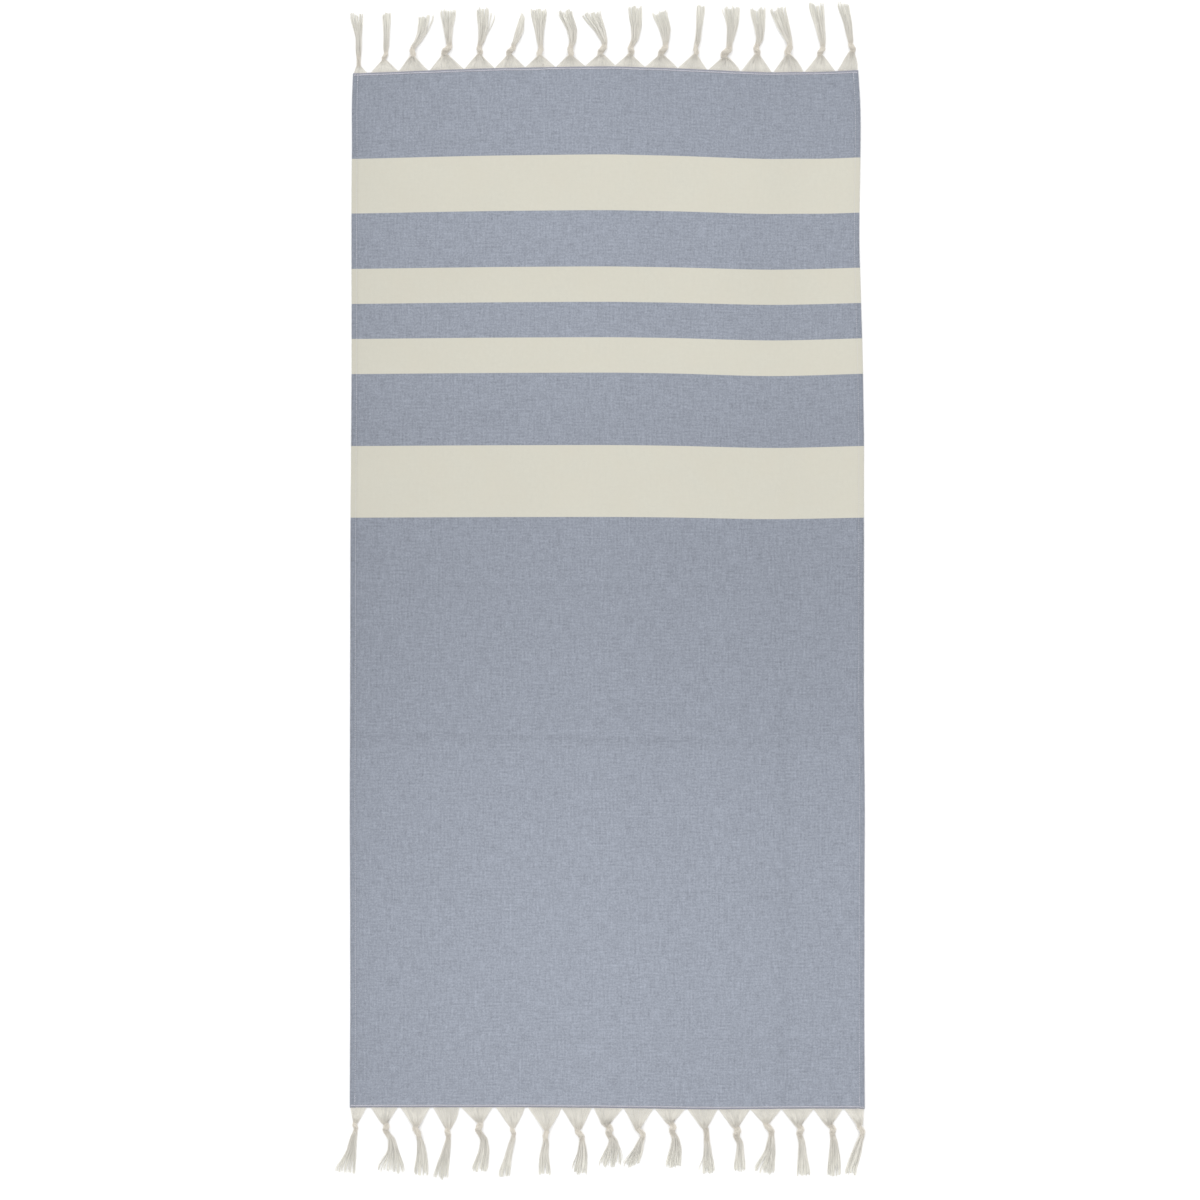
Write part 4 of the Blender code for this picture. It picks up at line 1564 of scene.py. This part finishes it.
    def paths(self, cloth: ClothPanel) -> YarnPaths:
        """Lay every yarn from the cloth's edge, through the knot, to its cut tip.

        Args:
            cloth: The cloth that the yarns grow from.

        Returns:
            The yarns' paths.
        """
        draw, look, width = self.draw, self.look, self.knot_width
        count = int(np.clip(round((self.right_root - self.left_root) * self.yarns_to_metre),
                            self.fewest_yarns, self.most_yarns))
        wide, high = self.bundle_to_knot * width, self.bundle_height_to_knot * width
        outer = int(round(2 * math.pi * math.sqrt((wide**2 + high**2) / 2.0) / self.ring_spacing))
        angle = np.concatenate([np.linspace(0.0, 2 * math.pi, outer, endpoint=False) + self.ring_start,
                                draw.uniform(0.0, 2 * math.pi, count - outer)])
        away = np.concatenate([np.ones(outer), np.sqrt(draw.uniform(*self.inner_away, count - outer))])
        order = np.argsort(np.argsort(away * np.cos(angle) + draw.normal(size=count) * 0.02))

        line = self.bundle_line()
        knot = self.knot(line, angle, away, wide - self.yarn_radius, high - self.yarn_radius)
        skirt = self.skirt(cloth, (order + 0.5) / count * 2.0 - 1.0, knot[:, 0],
                           self.knot_x + look.gather * MM, float(line[0, 1]) - self.gather_before_knot * width)
        reach = np.linspace(0.0, 1.0, self.tail_points + 1)[1:]
        tail = self.tail(line[-1], knot[:, -1], reach)

        paths = YarnPaths()
        skirt_radius = SKIRT_GIRTH * self.yarn_radius
        tail_radius = np.interp(reach, [0.0, 0.3, 0.85, 1.0], [0.95, 1.10, 1.08, 0.9]) * self.yarn_radius
        skirt_snug = np.where(SKIRT_SHARE < 1.0, 0.0, 0.5)
        tail_snug = np.interp(reach, [0.0, 0.12, 0.3], [0.8, 0.3, 0.0])
        step = np.linspace(0.0, 1.0, self.inner_points)[:, None]
        for number in range(count):
            run = knot[number]
            if number >= outer and not look.knot.plain:
                run = (run[:1] * (1 - step) + run[-1:] * step
                       + np.array([0.0, 0.0, self.inner_rise_to_knot * width]) * np.sin(math.pi * step))
            points = np.vstack([skirt[number], run, tail[number]])
            points[:, 2] = np.clip(points[:, 2], self.yarn_radius * 1.02, None)
            points[:, 1] = self.root_y + self.outward * points[:, 1]
            radius = np.concatenate([skirt_radius, np.full(len(run), 0.95 * self.yarn_radius), tail_radius])
            snug = np.concatenate([skirt_snug, np.ones(len(run)), tail_snug])
            to_tip = np.concatenate([np.zeros(len(skirt_snug) + len(run)), eased(reach, 0.3, 1.0)])
            paths.add(points, radius, float(draw.random()), snug, to_tip)
        return paths

    def build(self, cloth: ClothPanel, trees: YarnTrees, finish: bpy.types.Material) -> Piece:
        """Make the tassel in place of its CAD node.

        Args:
            cloth: The cloth that it grows from.
            trees: The yarn trees.
            finish: The yarn's material.

        Returns:
            The tassel.
        """
        tassel = run_tree(self.paths(cloth).wire(self.node.replace("tassel", "knotted_tassel")),
                          trees.yarns, {"Sides": self.yarn_sides, "Finish": finish})
        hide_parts(self.node)
        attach(tassel, "root")
        return tassel


@dataclass(frozen=True)
class TasselRow:
    """The tassels along one short end, from left to right."""

    end: str
    outward: float
    looks: tuple[TasselLook, ...]
    first_seed: int

    def build(self, cloth: ClothPanel, trees: YarnTrees, finish: bpy.types.Material) -> list[Piece]:
        """Make every tassel of the row.

        Args:
            cloth: The cloth that they grow from.
            trees: The yarn trees.
            finish: The yarn's material.

        Returns:
            The tassels.
        """
        made = []
        for number, look in enumerate(self.looks, start=1):
            tassel = Tassel(f"tassel_{self.end}_{number:02d}", self.outward, look, self.first_seed + number)
            made.append(tassel.build(cloth, trees, finish))
        return made


HEAD_ROW = TasselRow("head", 1.0, (
    TasselLook(Knot.TWIST, 0, TipCut.FLAT, fray=0.7),
    TasselLook(Knot.RISING, 10, TipCut.FLAT, fray=0.5, gather=-1),
    TasselLook(Knot.FALLING_BACK, -8, TipCut.RIGHT_LONG,
               (Lock(0.75, 1.0, 5.0, -3.0), Lock(-0.1, 0.1, -1.0, 1.5))),
    TasselLook(Knot.RISING, 24, TipCut.THREE_POINTS, (Lock(-1.0, -0.7, -2.0, 0.0),), gather=-3, fray=1.2),
    TasselLook(Knot.FALLING, -6, TipCut.RAGGED, (Lock(0.86, 1.0, 9.0, -9.0, 0.3), Lock(0.7, 0.86, 4.0, -5.0)),
               gather=-1),
    TasselLook(Knot.RISING, 22, TipCut.POINTED, fray=0.5, gather=-1),
    TasselLook(Knot.RISING_BACK, 6, TipCut.FLAT),
    TasselLook(Knot.FALLING_BACK, 0, TipCut.FLAT, (Lock(-0.3, 0.2, 0.0, -2.0),)),
    TasselLook(Knot.RISING, 14, TipCut.RIGHT_LONG, (Lock(-1.0, -0.6, -3.0, -3.0),), gather=-2),
    TasselLook(Knot.FALLING, -12, TipCut.THREE_POINTS, gather=-2),
    TasselLook(Knot.RISING, 12, TipCut.RIGHT_LONG, (Lock(-0.9, -0.6, -2.0, 1.0),), right_bow=1.0, gather=-3),
    TasselLook(Knot.FALLING_BACK, -10, TipCut.FLAT, fray=0.4, gather=-3),
    TasselLook(Knot.RISING, 26, TipCut.FLAT, (Lock(-1.0, -0.92, -4.0, -2.0, 0.7),), right_bow=2.5, gather=-1),
    TasselLook(Knot.FALLING, -8, TipCut.NOTCHED, gather=1),
    TasselLook(Knot.RISING_BACK, 8, TipCut.RIGHT_LONG, right_bow=3.0, gather=1),
    TasselLook(Knot.RISING, 16, TipCut.NOTCHED, gather=-1),
    TasselLook(Knot.FALLING, -14, TipCut.RAGGED, right_bow=1.5, gather=-2)), 100)

FOOT_ROW = TasselRow("foot", -1.0, (
    TasselLook(Knot.RISING, 12, TipCut.RAGGED,
               (Lock(-1.0, -0.45, -2.0, 2.0, 0.5), Lock(0.3, 1.0, 1.0, 1.0, 0.4)),
               fray=0.9, gather=1, left_out=2.5),
    TasselLook(Knot.FALLING, -20, TipCut.RAGGED,
               (Lock(-1.0, -0.75, -6.0, -3.0, 0.4), Lock(-0.75, -0.4, -3.0, 0.0, 0.4)), fray=1.3, gather=-2),
    TasselLook(Knot.RISING_BACK, 10, TipCut.FLAT, fray=0.8),
    TasselLook(Knot.RISING, 0, TipCut.RAGGED, right_bow=3.0, fray=1.1, gather=1),
    TasselLook(Knot.FALLING, -10, TipCut.FLAT, gather=3),
    TasselLook(Knot.RISING, 6, TipCut.FLAT, (Lock(-1.0, 0.0, -1.5, 0.0, 0.6), Lock(0.0, 1.0, 1.0, -1.0, 0.6)),
               right_bow=1.5, fray=0.5, gather=-1),
    TasselLook(Knot.FALLING_BACK, 0, TipCut.FLAT, right_bow=2.0, fray=0.7, gather=1),
    TasselLook(Knot.RISING, 14, TipCut.RAGGED, (Lock(-1.0, -0.85, -4.0, -5.0),), gather=-3),
    TasselLook(Knot.FALLING, -32, TipCut.RAGGED,
               (Lock(-1.0, -0.7, -2.5, 0.0, 0.2), Lock(-0.3, 0.0, -1.5, 2.0, 0.3),
                Lock(0.7, 1.0, 2.5, -2.0, 0.3)), fray=1.6, gather=-7),
    TasselLook(Knot.RISING_BACK, 12, TipCut.LEFT_LONG, (Lock(-1.0, -0.8, -3.0, -3.0),), gather=-8),
    TasselLook(Knot.FALLING, -24, TipCut.FLAT, gather=-6),
    TasselLook(Knot.TWIST, 0, TipCut.FLAT, (Lock(-1.0, -0.94, -5.0, -3.0, 0.5),), gather=-4),
    TasselLook(Knot.FALLING, -16, TipCut.FLAT, fray=0.5, gather=-3),
    TasselLook(Knot.RISING, 8, TipCut.RAGGED, (Lock(-1.0, -0.35, -4.0, -4.0, 0.5), Lock(0.3, 1.0, 1.0, 1.0)),
               gather=-6),
    TasselLook(Knot.FALLING, -20, TipCut.FLAT, fray=0.6, gather=-5),
    TasselLook(Knot.FALLING, -18, TipCut.FLAT, fray=0.6, gather=-9),
    TasselLook(Knot.RISING_BACK, 10, TipCut.FLAT, fray=0.8, gather=-4, right_out=8.0)), 200)


# ---------------------------------------------------------------- the studio


@dataclass(frozen=True)
class Studio:
    """A pale floor, soft light from all round with a little more from the head end, and a camera overhead."""

    floor_half: float = 9.0
    sight: float = 60.0
    floor_drop: float = 0.3 * MM
    view_width: float = 2.105
    lens: float = 85.0
    sensor: float = 36.0
    aim_from_cloth: tuple[float, float] = (-0.0118, -0.0223)
    sky: float = 0.935
    key: float = 1.29
    key_tilt: float = 50.0
    key_turn: float = -168.0
    key_softness: float = 75.0

    def build(self, finish: FloorFinish) -> None:
        """Lay the floor, set the lights and hang the camera.

        Args:
            finish: The floor's finish.
        """
        half, drop = self.floor_half, -self.floor_drop
        mesh = bpy.data.meshes.new("studio_floor")
        mesh.from_pydata([(-half, -half, drop), (half, -half, drop), (half, half, drop), (-half, half, drop)],
                         [], [(0, 1, 2, 3)])
        mesh.materials.append(finish.material())
        floor = placed("studio_floor", mesh)

        world = bpy.data.worlds.new("studio_sky")
        world.use_nodes = True
        backdrop = world.node_tree.nodes["Background"]
        backdrop.inputs["Color"].default_value = (1.0, 1.0, 1.0, 1.0)
        backdrop.inputs["Strength"].default_value = self.sky
        bpy.context.scene.world = world

        lamp = bpy.data.lights.new("soft_key", "SUN")
        lamp.energy = self.key
        lamp.angle = math.radians(self.key_softness)
        key = placed("soft_key", lamp)
        key.rotation_euler = (math.radians(self.key_tilt), 0.0, math.radians(self.key_turn))

        view = bpy.data.cameras.new("overhead")
        view.lens = self.lens
        view.sensor_width = self.sensor
        view.clip_end = self.sight
        camera = placed("overhead", view)
        camera.location = (*self.aim_from_cloth, self.view_width * self.lens / self.sensor)
        bpy.context.scene.camera = camera
        bpy.context.scene.view_settings.view_transform = "Standard"


# ---------------------------------------------------------------- the towel


def report(piece: Piece) -> None:
    """Log a finished piece's name and how many triangles it has."""
    piece.data.calc_loop_triangles()
    LOG.info("%s: %d triangles", piece.name, len(piece.data.loop_triangles))


def main() -> None:
    """Build the towel, piece by piece, and the studio it lies in."""
    logging.basicConfig(level=logging.INFO, format="%(message)s", stream=sys.stdout)
    effects = Effects.made()
    trees = YarnTrees()
    Studio().build(FloorFinish())

    panel = ClothPanel()
    cloth = panel.build()
    panel.dress(cloth, effects)
    report(cloth)

    hem_thread = HEM_THREAD.material(effects)
    end_thread = END_THREAD.material(effects)
    trim = [HemSeam("hem_seam_left", -1.0, seed=11).build(panel, trees, hem_thread),
            HemSeam("hem_seam_right", 1.0, seed=12).build(panel, trees, hem_thread),
            EndSeam("end_seam_head", 1.0, seed=23).build(panel, trees, end_thread),
            EndSeam("end_seam_foot", -1.0, seed=24).build(panel, trees, end_thread)]
    for seam in trim:
        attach(seam, "root")

    fringe_yarn = FRINGE_YARN.material(effects)
    for row in (HEAD_ROW, FOOT_ROW):
        trim += row.build(panel, trees, fringe_yarn)
    for piece in trim:
        report(piece)


if __name__ == "__main__":
    main()
